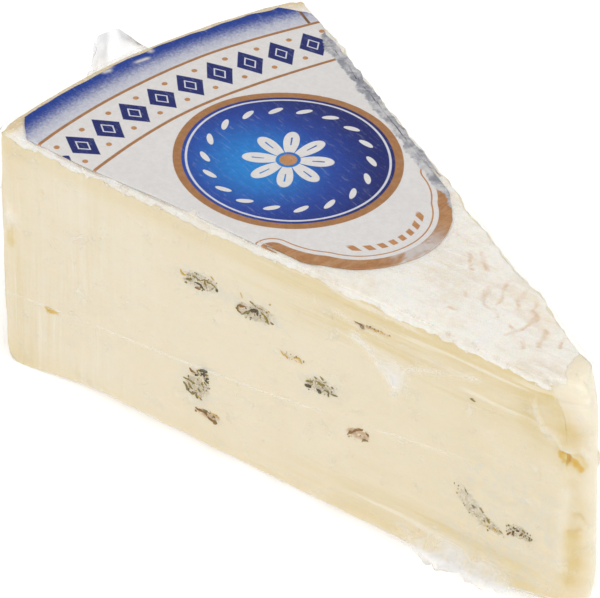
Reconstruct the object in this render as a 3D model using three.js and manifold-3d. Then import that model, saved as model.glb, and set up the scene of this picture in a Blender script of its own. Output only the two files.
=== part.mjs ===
// A wedge of soft blue cheese with a white mould rind, a printed label on its top and a tight clear film.
// Millimetres, +Z up. The tip points to +X and the rim of the wheel is at -X.

import * as THREE from "three";
import { mergeVertices } from "three/addons/utils/BufferGeometryUtils.js";
import Module from "manifold-3d";

const wasm = await Module();
wasm.setup();

// The wheel that the wedge was cut from, and the cut.
const WHEEL_RADIUS = 121.5;
const WHEEL_HEIGHT = 46.6;
const HALF_ANGLE = THREE.MathUtils.degToRad(15);

// How far each end's rounded edges reach in from the end, and down or up it.
const RIM_ROUND = { top: { out: 2, up: 4 }, base: { out: 4, up: 8.5 } };
const NOSE_ROUND = { top: { out: 4.5, up: 9 }, base: { out: 5, up: 12 } };

// The blunt, pressed tip.
const NOSE_FROM_APEX = 13.4; // where it meets the cut faces at the top, measured from the sharp tip
const NOSE_BULGE = 3.4; // how far its middle stands out from there
const NOSE_LEAN = 4; // its base stands out further than its top
const NOSE_LIFT = 4.5; // how far its underside curls up from the table
const NOSE_LIFT_LENGTH = 17;

const BASE_ROUND = 4; // rounding of the cut faces' lower edges, pressed by the film
const TOP_ROUND = 0.9; // rounding of the cut faces' upper edges, under the rind
const ROUND_FADE = 22; // the lower rounding fades out over this length towards the rim
const RIM_CORNER = 2.5; // rounding of the upright corners between the rim and the cut faces
const WIDEST_ROUND = 0.8; // no rounding takes more than this share of the half width

// Slow waves of a soft surface: height, and the turn of each wave in radians a millimetre.
const TOP_WAVE = { height: 0.2, along: 0.11, across: 0.13, start: 0.6 };
const TOP_RIPPLE = { height: 0.12, along: 0.23, across: -0.17, start: 1.9 };
const CUT_WAVE = { height: 0.3, along: 0.09, across: 0.08, start: 1.7 };
const CUT_RIPPLE = { height: 0.15, along: 0.21, across: 0.12, start: 0.4 };

// Layers over the cheese. Each keeps a small gap to the one under it.
const LAYER_GAP = 0.15;
const LABEL_THICKNESS = 0.2;
const FILM_THICKNESS = 0.25;
const LABEL_INSIDE = LAYER_GAP;
const LABEL_OUTSIDE = LABEL_INSIDE + LABEL_THICKNESS;
const FILM_INSIDE = LABEL_OUTSIDE + LAYER_GAP;
const FILM_OUTSIDE = FILM_INSIDE + FILM_THICKNESS;
const FILM_HEM_HEIGHT = 0.9; // the film's lower edge stays clear of the table

// The label's outline, seen from above.
const LABEL_RIM_MARGIN = 1.2;
const LABEL_SIDE_MARGIN = 0.8;
const LABEL_CORNER = 4; // the corners at the rim are cut off by this much
const LABEL_END_FROM_APEX = 64.5; // centre of the round end that faces the tip
const LABEL_END_RADIUS = 14.8;
const LABEL_END_FLARE = 3.2; // how much wider the round end is where it meets the cut faces
const LABEL_FLARE_START = THREE.MathUtils.degToRad(60);
const LABEL_FLARE_END = THREE.MathUtils.degToRad(104);

// The gathered tail of film that stands up at the rim.
const TAIL_WIDTH = 12;
const TAIL_HEIGHT = 5.2;
const TAIL_ROOT = 1.5; // the part of it that lies in the film
const TAIL_THICKNESS = 0.5;
const TAIL_TAPER = 0.45; // the share of its width that it loses at its top
const TAIL_SHOULDER = 0.3; // the share of its height that it loses at its sides
const TAIL_SLANT = 1.2; // how far its top stands to one side
const TAIL_LEAN = THREE.MathUtils.degToRad(25);
const TAIL_BEARING = THREE.MathUtils.degToRad(-2.2);
const TAIL_CRUMPLE = 0.7; // height of its gathers, which grow towards the top
const TAIL_GATHERS = 6; // turn of the gathers in radians over half the width

// Steps along the wedge, across it and up it, and how much closer they lie at the edges, from 0 to 1.
const STEPS = { along: 30, across: 10, up: 12 };
const STEP_SHARE = { along: 0.6, across: 0.75, up: 0.7 };
const TAIL_STEPS = { across: 10, up: 6 };
const LABEL_END_STEPS = 24;
const RIM_STEPS = 16;

// Blue mould pockets that the cuts opened. from_apex and height place one on a cut face.
// tilt is in degrees from level, and depth is how far it goes into the paste.
const MOULD_POCKETS = [
  { from_apex: 80.5, height: 34.6, length: 7.6, width: 3.0, tilt: -9, depth: 1.0 },
  { from_apex: 69.4, height: 33.7, length: 7.6, width: 3.2, tilt: -8, depth: 1.0 },
  { from_apex: 80.4, height: 14.2, length: 4.6, width: 6.2, tilt: 10, depth: 1.3 },
  { from_apex: 78.4, height: 8.7, length: 5.0, width: 1.9, tilt: -5, depth: 0.8 },
  { from_apex: 62.2, height: 28.6, length: 4.4, width: 1.2, tilt: 0, depth: 0.5 },
  { from_apex: 56.8, height: 25.1, length: 6.4, width: 3.0, tilt: -8, depth: 1.0 },
  { from_apex: 49.7, height: 19.1, length: 4.8, width: 2.2, tilt: -8, depth: 1.0 },
  { from_apex: 46.6, height: 41.0, length: 8.8, width: 1.1, tilt: -4, depth: 0.5 },
  { from_apex: 28.0, height: 15.6, length: 9.0, width: 2.4, tilt: 38, depth: 0.8 },
  { from_apex: 19.6, height: 15.6, length: 5.4, width: 2.2, tilt: 2, depth: 1.1 },
  { from_apex: 110.8, height: 14.1, length: 3.4, width: 1.3, tilt: 0, depth: 1.2 },
  { from_apex: 112.1, height: 38.0, length: 2.2, width: 1.6, tilt: 30, depth: 0.7 },
];
const FAR_FACE_SHIFT = 7; // the far face opens the same pockets a little nearer the rim
const POCKET_ROUGHNESS = 0.16; // share of its size by which a pocket's wall stands in or out
const POCKET_LUMPS = new THREE.Vector3(9, 7, 5); // turn of the lumps along each way of a pocket
const FINE_POCKET_LENGTH = 4.5; // pockets longer than this get finer walls

const lerp = THREE.MathUtils.lerp;
const smooth = (x) => THREE.MathUtils.smoothstep(x, 0, 1);

/** Closer steps at both ends of a run from 0 to 1: the run less a share of one sine wave. */
function endsCloser(t, share) {
  return t - (share * Math.sin(2 * Math.PI * t)) / (2 * Math.PI);
}

/** One wave over a surface with coordinates u and v. */
function wave(form, u, v) {
  return form.height * Math.sin(form.along * u + form.start) * Math.cos(form.across * v + form.start);
}

/** Rounds the corner of a square region: its outer sides are pulled in to a quarter ellipse. */
function roundCorner(x, y, reachX, reachY) {
  if (x <= 0 || y <= 0 || reachX <= 0 || reachY <= 0) return [x, y];
  const px = x / reachX;
  const py = y / reachY;
  const pull = Math.max(px, py) / Math.hypot(px, py);
  return [x * pull, y * pull];
}

/**
 * Rounds the top and base edges of one end of the wedge's long section.
 * direction is 1 where the end faces away from the wheel's middle, and -1 at the nose.
 */
function roundEnd(out, z, end, direction, round, floor, top) {
  const upper = z > (floor + top) / 2;
  const reach = upper ? round.top : round.base;
  const start = end - direction * reach.out;
  const level = upper ? top - reach.up : floor + reach.up;
  const turn = upper ? 1 : -1;
  const [x, y] = roundCorner(direction * (out - start), turn * (z - level), reach.out, reach.up);
  return [start + direction * x, level + turn * y];
}

/**
 * Rounds the top and base edges of a cut face.
 * inset is the distance in from the face, and baseReach and topReach are the roundings.
 */
function roundCut(inset, z, baseReach, topReach, floor, top) {
  const upper = z > (floor + top) / 2;
  const reach = upper ? topReach : baseReach;
  const level = upper ? top - reach : floor + reach;
  const turn = upper ? 1 : -1;
  const [x, y] = roundCorner(reach - inset, turn * (z - level), reach, reach);
  return [reach - x, level + turn * y];
}

/**
 * A point of the wedge's surface, moved out from it by the given distance.
 * a runs from the nose to the rim, b from the near cut (-1) to the far cut (1), c from base to top.
 */
function wedgePoint(a, b, c, outward) {
  const nose = NOSE_FROM_APEX - NOSE_BULGE * (1 - b * b) - NOSE_LEAN * (1 - c) - outward;
  const rim = WHEEL_RADIUS + outward;
  const top = WHEEL_HEIGHT + outward;
  const floor = -outward;
  let out = lerp(nose, rim, a);
  let z = lerp(floor, top, c);
  [out, z] = roundEnd(out, z, rim, 1, RIM_ROUND, floor, top);
  [out, z] = roundEnd(out, z, nose, -1, NOSE_ROUND, floor, top);

  const side = Math.sign(b) || 1;
  const halfWidth = out * Math.sin(HALF_ANGLE) + outward;
  const widest = WIDEST_ROUND * halfWidth;
  const baseReach = Math.min(BASE_ROUND * smooth((rim - out) / ROUND_FADE), widest);
  let inset = halfWidth * (1 - Math.abs(b));
  const corner = roundCorner(out - (rim - RIM_CORNER), RIM_CORNER - inset, RIM_CORNER, RIM_CORNER);
  out = rim - RIM_CORNER + corner[0];
  inset = RIM_CORNER - corner[1];
  [inset, z] = roundCut(inset, z, baseReach, Math.min(TOP_ROUND, widest), floor, top);

  // Slow waves: the top's fade out towards the base, and the cut faces' towards their edges.
  const rise = z / top;
  const x = -out * Math.cos(HALF_ANGLE * b);
  let y = side * (halfWidth - inset);
  z += rise * rise * (wave(TOP_WAVE, x, y) + wave(TOP_RIPPLE, x, y));
  const sway = wave(CUT_WAVE, out * side, z) + wave(CUT_RIPPLE, out, z * side);
  y += Math.abs(b) ** 3 * sway * Math.sin(Math.PI * c);

  // The tip's underside curls up, most at the nose.
  const curl = smooth(1 - (out - nose) / NOSE_LIFT_LENGTH);
  z += NOSE_LIFT * curl * (1 - rise) ** 2;
  return new THREE.Vector3(x, y, z);
}

/** A closed geometry as a solid that can be joined and cut. */
function solidOf(geometry) {
  const bare = new THREE.BufferGeometry();
  bare.setAttribute("position", geometry.getAttribute("position"));
  bare.setIndex(geometry.index);
  const merged = mergeVertices(bare, 1e-4);
  const mesh = new wasm.Mesh({
    numProp: 3,
    vertProperties: new Float32Array(merged.getAttribute("position").array),
    triVerts: new Uint32Array(merged.index.array),
  });
  return new wasm.Manifold(mesh);
}

/** A solid as a geometry. */
function geometryOf(solid) {
  const mesh = solid.getMesh();
  const geometry = new THREE.BufferGeometry();
  geometry.setAttribute("position", new THREE.BufferAttribute(mesh.vertProperties, 3));
  geometry.setIndex(new THREE.BufferAttribute(mesh.triVerts, 1));
  geometry.computeVertexNormals();
  return geometry;
}

/** Moves every point of a unit box that is centred on the origin by a function of its place in it. */
function bentBox(alongSteps, acrossSteps, upSteps, place) {
  const box = new THREE.BoxGeometry(1, 1, 1, alongSteps, acrossSteps, upSteps);
  const points = box.getAttribute("position");
  for (let i = 0; i < points.count; i++) {
    const p = place(points.getX(i) + 0.5, points.getY(i) + 0.5, points.getZ(i) + 0.5);
    points.setXYZ(i, p.x, p.y, p.z);
  }
  return box;
}

/** The wedge's outer form, moved out on all sides by the given distance. */
function wedgeForm(outward) {
  const box = bentBox(STEPS.along, STEPS.across, STEPS.up, (a, b, c) =>
    // Seen from the wedge, a runs towards -X, so the box is mirrored across to keep its faces pointing out.
    wedgePoint(
      endsCloser(a, STEP_SHARE.along),
      1 - 2 * endsCloser(b, STEP_SHARE.across),
      endsCloser(c, STEP_SHARE.up),
      outward,
    ),
  );
  return solidOf(box);
}

/** A lumpy pocket, centred on a cut face, that is to be taken out of the paste. */
function mouldPocket(pocket, side, shift) {
  const lump = new THREE.IcosahedronGeometry(0.5, pocket.length > FINE_POCKET_LENGTH ? 1 : 0);
  const points = lump.getAttribute("position");
  for (let i = 0; i < points.count; i++) {
    const p = new THREE.Vector3().fromBufferAttribute(points, i);
    p.multiplyScalar(1 + POCKET_ROUGHNESS * Math.sin(p.dot(POCKET_LUMPS) + pocket.from_apex));
    points.setXYZ(i, p.x, p.y, p.z);
  }
  lump.deleteAttribute("uv");
  lump.deleteAttribute("normal");
  const merged = mergeVertices(lump, 1e-4);
  merged.scale(pocket.length, 2 * pocket.depth, pocket.width);
  // On the near face the tilt falls towards the tip, as the pockets' length does.
  merged.rotateY(THREE.MathUtils.degToRad(pocket.tilt));
  merged.rotateZ(-side * HALF_ANGLE);
  const distance = pocket.from_apex + shift;
  merged.translate(
    -distance * Math.cos(HALF_ANGLE),
    side * distance * Math.sin(HALF_ANGLE),
    pocket.height,
  );
  return solidOf(merged);
}

/** The paste and its rind in one piece, with the opened mould pockets taken out. */
function cheeseSolid() {
  let solid = wedgeForm(0);
  for (const pocket of MOULD_POCKETS) {
    solid = solid.subtract(mouldPocket(pocket, -1, 0));
    const fits = pocket.from_apex + FAR_FACE_SHIFT < WHEEL_RADIUS - RIM_ROUND.base.out;
    solid = solid.subtract(mouldPocket(pocket, 1, fits ? FAR_FACE_SHIFT : -FAR_FACE_SHIFT));
  }
  return solid;
}

/** A point inside a cut face by the label's margin, seen from above, at a distance from the sharp tip. */
function besideCut(distance, side) {
  const onFace = new THREE.Vector2(-Math.cos(HALF_ANGLE), side * Math.sin(HALF_ANGLE)).multiplyScalar(distance);
  const inward = new THREE.Vector2(-Math.sin(HALF_ANGLE), -side * Math.cos(HALF_ANGLE));
  return onFace.addScaledVector(inward, LABEL_SIDE_MARGIN);
}

/** The label's outline: cut along the wedge's sides, round at the rim and round towards the tip. */
function labelShape() {
  const rim = WHEEL_RADIUS - LABEL_RIM_MARGIN;
  const points = [];
  for (let i = 0; i <= LABEL_END_STEPS; i++) {
    const turn = lerp(-LABEL_FLARE_END, LABEL_FLARE_END, i / LABEL_END_STEPS);
    const flare = Math.max(0, (Math.abs(turn) - LABEL_FLARE_START) / (LABEL_FLARE_END - LABEL_FLARE_START));
    const radius = LABEL_END_RADIUS + LABEL_END_FLARE * flare;
    const y = radius * Math.sin(turn);
    const x = radius * Math.cos(turn) - LABEL_END_FROM_APEX;
    const widest = -x * Math.tan(HALF_ANGLE) - LABEL_SIDE_MARGIN / Math.cos(HALF_ANGLE);
    points.push(new THREE.Vector2(x, THREE.MathUtils.clamp(y, -widest, widest)));
  }
  points.push(besideCut(rim - LABEL_CORNER, 1));
  const bend = HALF_ANGLE - (LABEL_CORNER + LABEL_SIDE_MARGIN) / rim;
  for (let i = 0; i <= RIM_STEPS; i++) {
    const bearing = lerp(bend, -bend, i / RIM_STEPS);
    points.push(new THREE.Vector2(-rim * Math.cos(bearing), rim * Math.sin(bearing)));
  }
  points.push(besideCut(rim - LABEL_CORNER, -1));
  return new THREE.Shape(points);
}

/** The paper label: a thin layer over the top, inside the label's outline. */
function labelSolid() {
  const layer = wedgeForm(LABEL_OUTSIDE).subtract(wedgeForm(LABEL_INSIDE));
  const prism = new THREE.ExtrudeGeometry(labelShape(), { depth: WHEEL_HEIGHT, bevelEnabled: false });
  prism.translate(0, 0, WHEEL_HEIGHT / 2);
  prism.deleteAttribute("uv");
  prism.deleteAttribute("normal");
  return layer.intersect(solidOf(mergeVertices(prism, 1e-4)));
}

/** The film's gathered tail: a crumpled flap that stands at the rim and leans out. */
function tailSolid() {
  const flap = bentBox(TAIL_STEPS.up, TAIL_STEPS.across, 1, (up, across, through) => {
    const v = 2 * across - 1;
    const gathers = Math.sin(TAIL_GATHERS * v + 2 * up) * up + 0.4 * Math.sin(0.7 * TAIL_GATHERS * v);
    const width = TAIL_WIDTH * (1 - TAIL_TAPER * up * up);
    const height = (TAIL_HEIGHT + TAIL_ROOT) * (1 - TAIL_SHOULDER * v * v);
    return new THREE.Vector3(
      TAIL_CRUMPLE * gathers + (0.5 - through) * TAIL_THICKNESS,
      (v * width) / 2 + TAIL_SLANT * up,
      up * height - TAIL_ROOT,
    );
  });
  const root = wedgePoint(1, 0, 1, FILM_INSIDE);
  flap.rotateY(-TAIL_LEAN);
  flap.translate(root.x, 0, root.z);
  flap.rotateZ(-TAIL_BEARING);
  return solidOf(flap);
}

/** The clear film: a skin over the top, the cut faces and the rim, open where it turns under the base. */
function filmSolid() {
  const skin = wedgeForm(FILM_OUTSIDE).add(tailSolid());
  const under = new THREE.BoxGeometry(3 * WHEEL_RADIUS, WHEEL_RADIUS, 2 * WHEEL_HEIGHT);
  under.translate(0, 0, FILM_HEM_HEIGHT - WHEEL_HEIGHT);
  return skin.subtract(wedgeForm(FILM_INSIDE)).subtract(solidOf(under));
}

/** One named piece of the wedge. */
function piece(name, solid, material) {
  const mesh = new THREE.Mesh(geometryOf(solid), material);
  mesh.name = name;
  return mesh;
}

const pasteMaterial = new THREE.MeshStandardMaterial({ color: 0xecdfc6, roughness: 0.55, metalness: 0 });
const labelMaterial = new THREE.MeshStandardMaterial({ color: 0x2a4f9a, roughness: 0.4, metalness: 0.2 });
const filmMaterial = new THREE.MeshStandardMaterial({
  color: 0xffffff,
  roughness: 0.1,
  metalness: 0,
  transparent: true,
  opacity: 0.25,
});

const wedge = new THREE.Group();
wedge.add(piece("cheese_wedge", cheeseSolid(), pasteMaterial));
wedge.add(piece("paper_label", labelSolid(), labelMaterial));
wedge.add(piece("film_wrap", filmSolid(), filmMaterial));

// The origin is under the middle of the whole, on the table.
const extent = new THREE.Box3().setFromObject(wedge);
const middle = extent.getCenter(new THREE.Vector3());
wedge.position.set(-middle.x, -middle.y, -extent.min.z);

export default wedge;
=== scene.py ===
"""A wedge of soft blue cheese with a white mould rind, a printed label on its top and a tight clear film.

The shapes are worked out in millimetres from the sharp tip of the wedge, with the rim of the wheel
towards -X, the near cut on the -Y side and +Z up. They are moved to the frame's place and turned into
metres when a mesh is made.
"""
import logging
import math
from dataclasses import dataclass, field
from enum import Enum

import bpy
import numpy as np
from mathutils import Matrix, Vector


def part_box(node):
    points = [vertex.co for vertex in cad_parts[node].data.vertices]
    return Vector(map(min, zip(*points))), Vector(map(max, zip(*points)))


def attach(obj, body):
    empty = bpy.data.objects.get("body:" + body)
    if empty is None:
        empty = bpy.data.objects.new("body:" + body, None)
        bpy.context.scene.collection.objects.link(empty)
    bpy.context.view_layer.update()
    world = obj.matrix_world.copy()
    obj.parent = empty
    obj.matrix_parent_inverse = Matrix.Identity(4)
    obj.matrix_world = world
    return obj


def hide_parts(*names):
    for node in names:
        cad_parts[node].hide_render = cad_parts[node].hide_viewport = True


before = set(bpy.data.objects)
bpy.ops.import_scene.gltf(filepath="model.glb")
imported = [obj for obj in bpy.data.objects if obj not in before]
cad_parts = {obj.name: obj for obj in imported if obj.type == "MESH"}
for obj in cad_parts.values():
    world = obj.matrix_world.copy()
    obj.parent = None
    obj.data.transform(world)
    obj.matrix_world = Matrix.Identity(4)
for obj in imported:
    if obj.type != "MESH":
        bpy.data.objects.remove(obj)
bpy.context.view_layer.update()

LOG = logging.getLogger("cheese")

Array = np.ndarray


def smooth(x: Array) -> Array:
    """Runs from 0 to 1 as x does, level at both ends: 3x^2 - 2x^3."""
    x = np.clip(x, 0.0, 1.0)
    return x * x * (3 - 2 * x)


def rise(x: Array, low: float, high: float) -> Array:
    """The smooth step from 0 at low to 1 at high."""
    return smooth((x - low) / (high - low))


def ends_closer(count: int, share: float) -> Array:
    """Places from 0 to 1 that lie closer at both ends: t less a share of one sine wave of t."""
    t = np.linspace(0.0, 1.0, count + 1)
    return t - share * np.sin(2 * np.pi * t) / (2 * np.pi)


def linear(red: float, green: float, blue: float) -> tuple[float, float, float, float]:
    """A colour given in 0 to 255, as the linear colour that a shader takes.

    Args:
        red: Red from 0 to 255.
        green: Green from 0 to 255.
        blue: Blue from 0 to 255.

    Returns:
        Linear red, green and blue from 0 to 1, and an alpha of 1.
    """
    shares = [value / 255 for value in (red, green, blue)]
    parts = [v / 12.92 if v <= 0.04045 else ((v + 0.055) / 1.055) ** 2.4 for v in shares]
    return (*parts, 1.0)


class SoftNoise:
    """Smooth seeded noise in space: random values on a wrapped cubic lattice, blended by smooth steps."""

    SIZE = 32

    def __init__(self, seed: int) -> None:
        """Draws the lattice's values between -1 and 1 from the seed."""
        self.values = np.random.default_rng(seed).uniform(-1, 1, (self.SIZE,) * 3)

    def at(self, points: Array, size: float | tuple) -> Array:
        """The noise at some points.

        Args:
            points: Places in millimetres, one a row.
            size: Size of the lumps in millimetres, one number or one for each axis.

        Returns:
            One value a point, from -1 to 1.
        """
        place = points / np.asarray(size)
        cell = np.floor(place).astype(int)
        part = smooth(place - cell)
        total = np.zeros(len(points))
        for corner in np.ndindex(2, 2, 2):
            share = np.prod(np.where(corner, part, 1 - part), axis=1)
            i, j, k = ((cell + corner) % self.SIZE).T
            total += share * self.values[i, j, k]
        return total

    def layered(self, points: Array, size: float, layers: int = 3) -> Array:
        """Noise with finer noise on it: each layer is half the size and half the height of the last."""
        offsets = 17.3 * np.arange(layers)
        return sum(self.at(points + o, size / 2**n) / 2**n for n, o in enumerate(offsets))


def path_distance(points: Array, path: Array) -> Array:
    """The distance from each point to a path of straight stretches.

    The nearest place on a stretch is its start plus the clipped share of it that the point projects on.

    Args:
        points: Places, one a row, in two or three coordinates.
        path: The path's corners in the same coordinates.

    Returns:
        One distance a point.
    """
    best = np.full(len(points), np.inf)
    for start, end in zip(path[:-1], path[1:]):
        run = end - start
        share = np.clip((points - start) @ run / (run @ run), 0, 1)
        best = np.minimum(best, np.linalg.norm(points - start - share[:, None] * run, axis=1))
    return best


def near_path(points: Array, path: Array, width: float) -> Array:
    """How close each point is to a path, from 1 on it: exp(-(distance / width)^2)."""
    return np.exp(-((path_distance(points, path) / width) ** 2))


def turned(x: Array, y: Array, angle: float) -> tuple[Array, Array]:
    """Two coordinates turned by an angle: x cos - y sin, and x sin + y cos."""
    cos, sin = math.cos(angle), math.sin(angle)
    return x * cos - y * sin, x * sin + y * cos


# ---- The smooth form of the wedge ----


@dataclass(frozen=True)
class Rounding:
    """How far a rounded edge reaches in from an end, and down or up it, in millimetres."""

    out: float
    up: float


@dataclass(frozen=True)
class Wave:
    """A slow wave of a soft surface: its height, and its turn in radians a millimetre each way."""

    height: float
    along: float
    across: float
    start: float

    def at(self, u: Array, v: Array) -> Array:
        """The wave's height: a sine along u times a cosine along v."""
        return self.height * np.sin(self.along * u + self.start) * np.cos(self.across * v + self.start)


def round_corner(x: Array, y: Array, reach_x: Array, reach_y: Array) -> tuple[Array, Array]:
    """Pulls the outer sides of a square region in to a quarter ellipse: divides by length over longest side."""
    inside = (x > 0) & (y > 0) & (reach_x > 0) & (reach_y > 0)
    px = np.where(inside, x / np.where(inside, reach_x, 1), 1.0)
    py = np.where(inside, y / np.where(inside, reach_y, 1), 1.0)
    pull = np.where(inside, np.maximum(px, py) / np.hypot(px, py), 1.0)
    return x * pull, y * pull


@dataclass(frozen=True)
class WedgeForm:
    """The wedge's form without its fine relief, as the solids have it. Lengths are in millimetres."""

    radius: float = 121.5
    height: float = 46.6
    half_angle: float = math.radians(15)
    rim_top: Rounding = Rounding(2, 4)
    rim_base: Rounding = Rounding(4, 8.5)
    nose_top: Rounding = Rounding(4.5, 9)
    nose_base: Rounding = Rounding(5, 12)
    nose_from_apex: float = 13.4
    nose_bulge: float = 3.4
    nose_lean: float = 4
    nose_lift: float = 4.5
    nose_lift_length: float = 17
    base_round: float = 4
    top_round: float = 0.9
    round_fade: float = 22
    rim_corner: float = 2.5
    widest_round: float = 0.8
    top_waves: tuple = (Wave(0.2, 0.11, 0.13, 0.6), Wave(0.12, 0.23, -0.17, 1.9))
    cut_wave: Wave = Wave(0.3, 0.09, 0.08, 1.7)
    cut_ripple: Wave = Wave(0.15, 0.21, 0.12, 0.4)

    def _round_end(
        self, out: Array, z: Array, end: Array, way: int, top_edge: Rounding, base_edge: Rounding, levels: tuple
    ) -> tuple[Array, Array]:
        """Rounds the top and base edges of one end, which faces away from the tip where way is 1."""
        floor, top = levels
        upper = z > (floor + top) / 2
        reach_out = np.where(upper, top_edge.out, base_edge.out)
        reach_up = np.where(upper, top_edge.up, base_edge.up)
        start = end - way * reach_out
        level = np.where(upper, top - reach_up, floor + reach_up)
        turn = np.where(upper, 1, -1)
        x, y = round_corner(way * (out - start), turn * (z - level), reach_out, reach_up)
        return start + way * x, level + turn * y

    def _round_cut(self, inset: Array, z: Array, base_reach: Array, top_reach: Array, levels: tuple) -> tuple:
        """Rounds the top and base edges of a cut face, where inset is the distance in from it."""
        floor, top = levels
        upper = z > (floor + top) / 2
        reach = np.where(upper, top_reach, base_reach)
        level = np.where(upper, top - reach, floor + reach)
        turn = np.where(upper, 1, -1)
        x, y = round_corner(reach - inset, turn * (z - level), reach, reach)
        return reach - x, level + turn * y

    def points(self, a: Array, b: Array, c: Array, outward: float) -> Array:
        """Points of the wedge's surface, moved out from it by a distance.

        A block is squeezed to the wedge: its width is the distance from the tip times the sine of the
        half angle, its edges are rounded, and slow waves are added to its top and its cut faces.

        Args:
            a: From the nose at 0 to the rim at 1.
            b: From the near cut at -1 to the far cut at 1.
            c: From the base at 0 to the top at 1.
            outward: Distance out from the surface.

        Returns:
            One point a row.
        """
        nose = self.nose_from_apex - self.nose_bulge * (1 - b * b) - self.nose_lean * (1 - c) - outward
        rim = self.radius + outward
        levels = (-outward, self.height + outward)
        out = nose + (rim - nose) * a
        z = levels[0] + (levels[1] - levels[0]) * c
        out, z = self._round_end(out, z, rim, 1, self.rim_top, self.rim_base, levels)
        out, z = self._round_end(out, z, nose, -1, self.nose_top, self.nose_base, levels)

        side = np.where(b < 0, -1.0, 1.0)
        half = out * math.sin(self.half_angle) + outward
        widest = self.widest_round * half
        base_reach = np.minimum(self.base_round * smooth((rim - out) / self.round_fade), widest)
        inset = half * (1 - np.abs(b))
        corner = np.full_like(out, self.rim_corner)
        beyond, within = round_corner(out - (rim - self.rim_corner), self.rim_corner - inset, corner, corner)
        out = rim - self.rim_corner + beyond
        inset = self.rim_corner - within
        inset, z = self._round_cut(inset, z, base_reach, np.minimum(self.top_round, widest), levels)

        share = z / levels[1]
        x = -out * np.cos(self.half_angle * b)
        y = side * (half - inset)
        z = z + share**2 * sum(wave.at(x, y) for wave in self.top_waves)
        sway = self.cut_wave.at(out * side, z) + self.cut_ripple.at(out, z * side)
        y = y + np.abs(b) ** 3 * sway * np.sin(np.pi * c)
        curl = smooth(1 - (out - nose) / self.nose_lift_length)
        z = z + self.nose_lift * curl * (1 - share) ** 2
        return np.stack([x, y, z], axis=-1)

    def on_top(self, x: Array, y: Array, outward: float) -> Array:
        """The top's points over places seen from above: three rounds of solving the form's own squeeze."""
        out = -x
        for _ in range(3):
            b = np.clip(y / (out * math.sin(self.half_angle) + outward), -1, 1)
            out = -x / np.cos(self.half_angle * b)
        nose = self.nose_from_apex - self.nose_bulge * (1 - b * b) - outward
        a = np.clip((out - nose) / (self.radius + outward - nose), 0, 1)
        return self.points(a, b, np.ones_like(a), outward)


FORM = WedgeForm()
COS, SIN = math.cos(FORM.half_angle), math.sin(FORM.half_angle)
# The sharp tip in the frame: the cheese's box ends at the rim.
TIP = np.array([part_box("cheese_wedge")[0].x * 1000 + FORM.radius, 0.0, 0.0])


class Face(Enum):
    """A cut face, by the side of the wedge that it is on."""

    NEAR = -1
    FAR = 1

    @property
    def outward(self) -> Array:
        """The face's own direction, level and square to the cut."""
        return np.array([SIN, self.value * COS, 0.0])

    def place(self, along: Array, height: Array, proud: Array) -> Array:
        """Points on the face, by the distance from the tip's upright, the height and how far they stand out."""
        run = np.array([-COS, self.value * SIN, 0.0])
        level = along[:, None] * run + proud[:, None] * self.outward
        level[:, 2] += height
        return level


def face_sway(along: Array, height: Array, face: Face) -> Array:
    """How far the slow waves move a cut face sideways, as in the form."""
    wave = FORM.cut_wave.at(along * face.value, height) + FORM.cut_ripple.at(along, height * face.value)
    return face.value * wave * np.sin(np.pi * np.clip(height / FORM.height, 0, 1))


# ---- Meshes ----


@dataclass
class Surface:
    """Points in millimetres with quads or triangles over them, and named values at the points."""

    points: Array
    faces: list[Array]
    values: dict[str, Array] = field(default_factory=dict)

    def normals(self) -> Array:
        """The points' outward directions: the sum of the crossed diagonals of the quads round each."""
        quads = self.faces[0]
        corner = self.points[quads]
        across = np.cross(corner[:, 2] - corner[:, 0], corner[:, 3] - corner[:, 1])
        count = len(self.points)
        total = np.stack(
            [sum(np.bincount(quads[:, k], across[:, axis], count) for k in range(4)) for axis in range(3)],
            axis=1,
        )
        return total / np.maximum(np.linalg.norm(total, axis=1, keepdims=True), 1e-12)

    def piece(self, name: str, material: bpy.types.Material, slot: str) -> bpy.types.Object:
        """Makes the object, at the origin, with its place in its mesh.

        Args:
            name: The object's name.
            material: Its finish.
            slot: The record's material slot; not used.

        Returns:
            The object, which rides on the root.
        """
        mesh = bpy.data.meshes.new(name)
        corners = np.concatenate([f.ravel() for f in self.faces]).astype(np.int32)
        sizes = np.concatenate([np.full(len(f), f.shape[1]) for f in self.faces])
        starts = np.concatenate([[0], np.cumsum(sizes)[:-1]]).astype(np.int32)
        mesh.vertices.add(len(self.points))
        mesh.vertices.foreach_set("co", ((self.points + TIP) / 1000).astype(np.float32).ravel())
        mesh.loops.add(len(corners))
        mesh.loops.foreach_set("vertex_index", corners)
        mesh.polygons.add(len(sizes))
        mesh.polygons.foreach_set("loop_start", starts)
        mesh.polygons.foreach_set("use_smooth", np.ones(len(sizes), dtype=bool))
        mesh.update(calc_edges=True)
        for key, value in self.values.items():
            layer = mesh.attributes.new(key, "FLOAT", "POINT")
            layer.data.foreach_set("value", value.astype(np.float32))
        mesh.validate()
        mesh.materials.append(material)
        piece = bpy.data.objects.new(name, mesh)
        bpy.context.scene.collection.objects.link(piece)
        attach(piece, "root")
        LOG.info("%s: %d points, %d faces", name, len(mesh.vertices), len(mesh.polygons))
        return piece


def sheet_quads(sheet: Array, flipped: bool = False) -> Array:
    """The quads over a grid of point numbers, turned over where flipped."""
    ring = [sheet[:-1, :-1], sheet[1:, :-1], sheet[1:, 1:], sheet[:-1, 1:]]
    return np.stack(ring[::-1] if flipped else ring, axis=-1).reshape(-1, 4)


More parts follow.
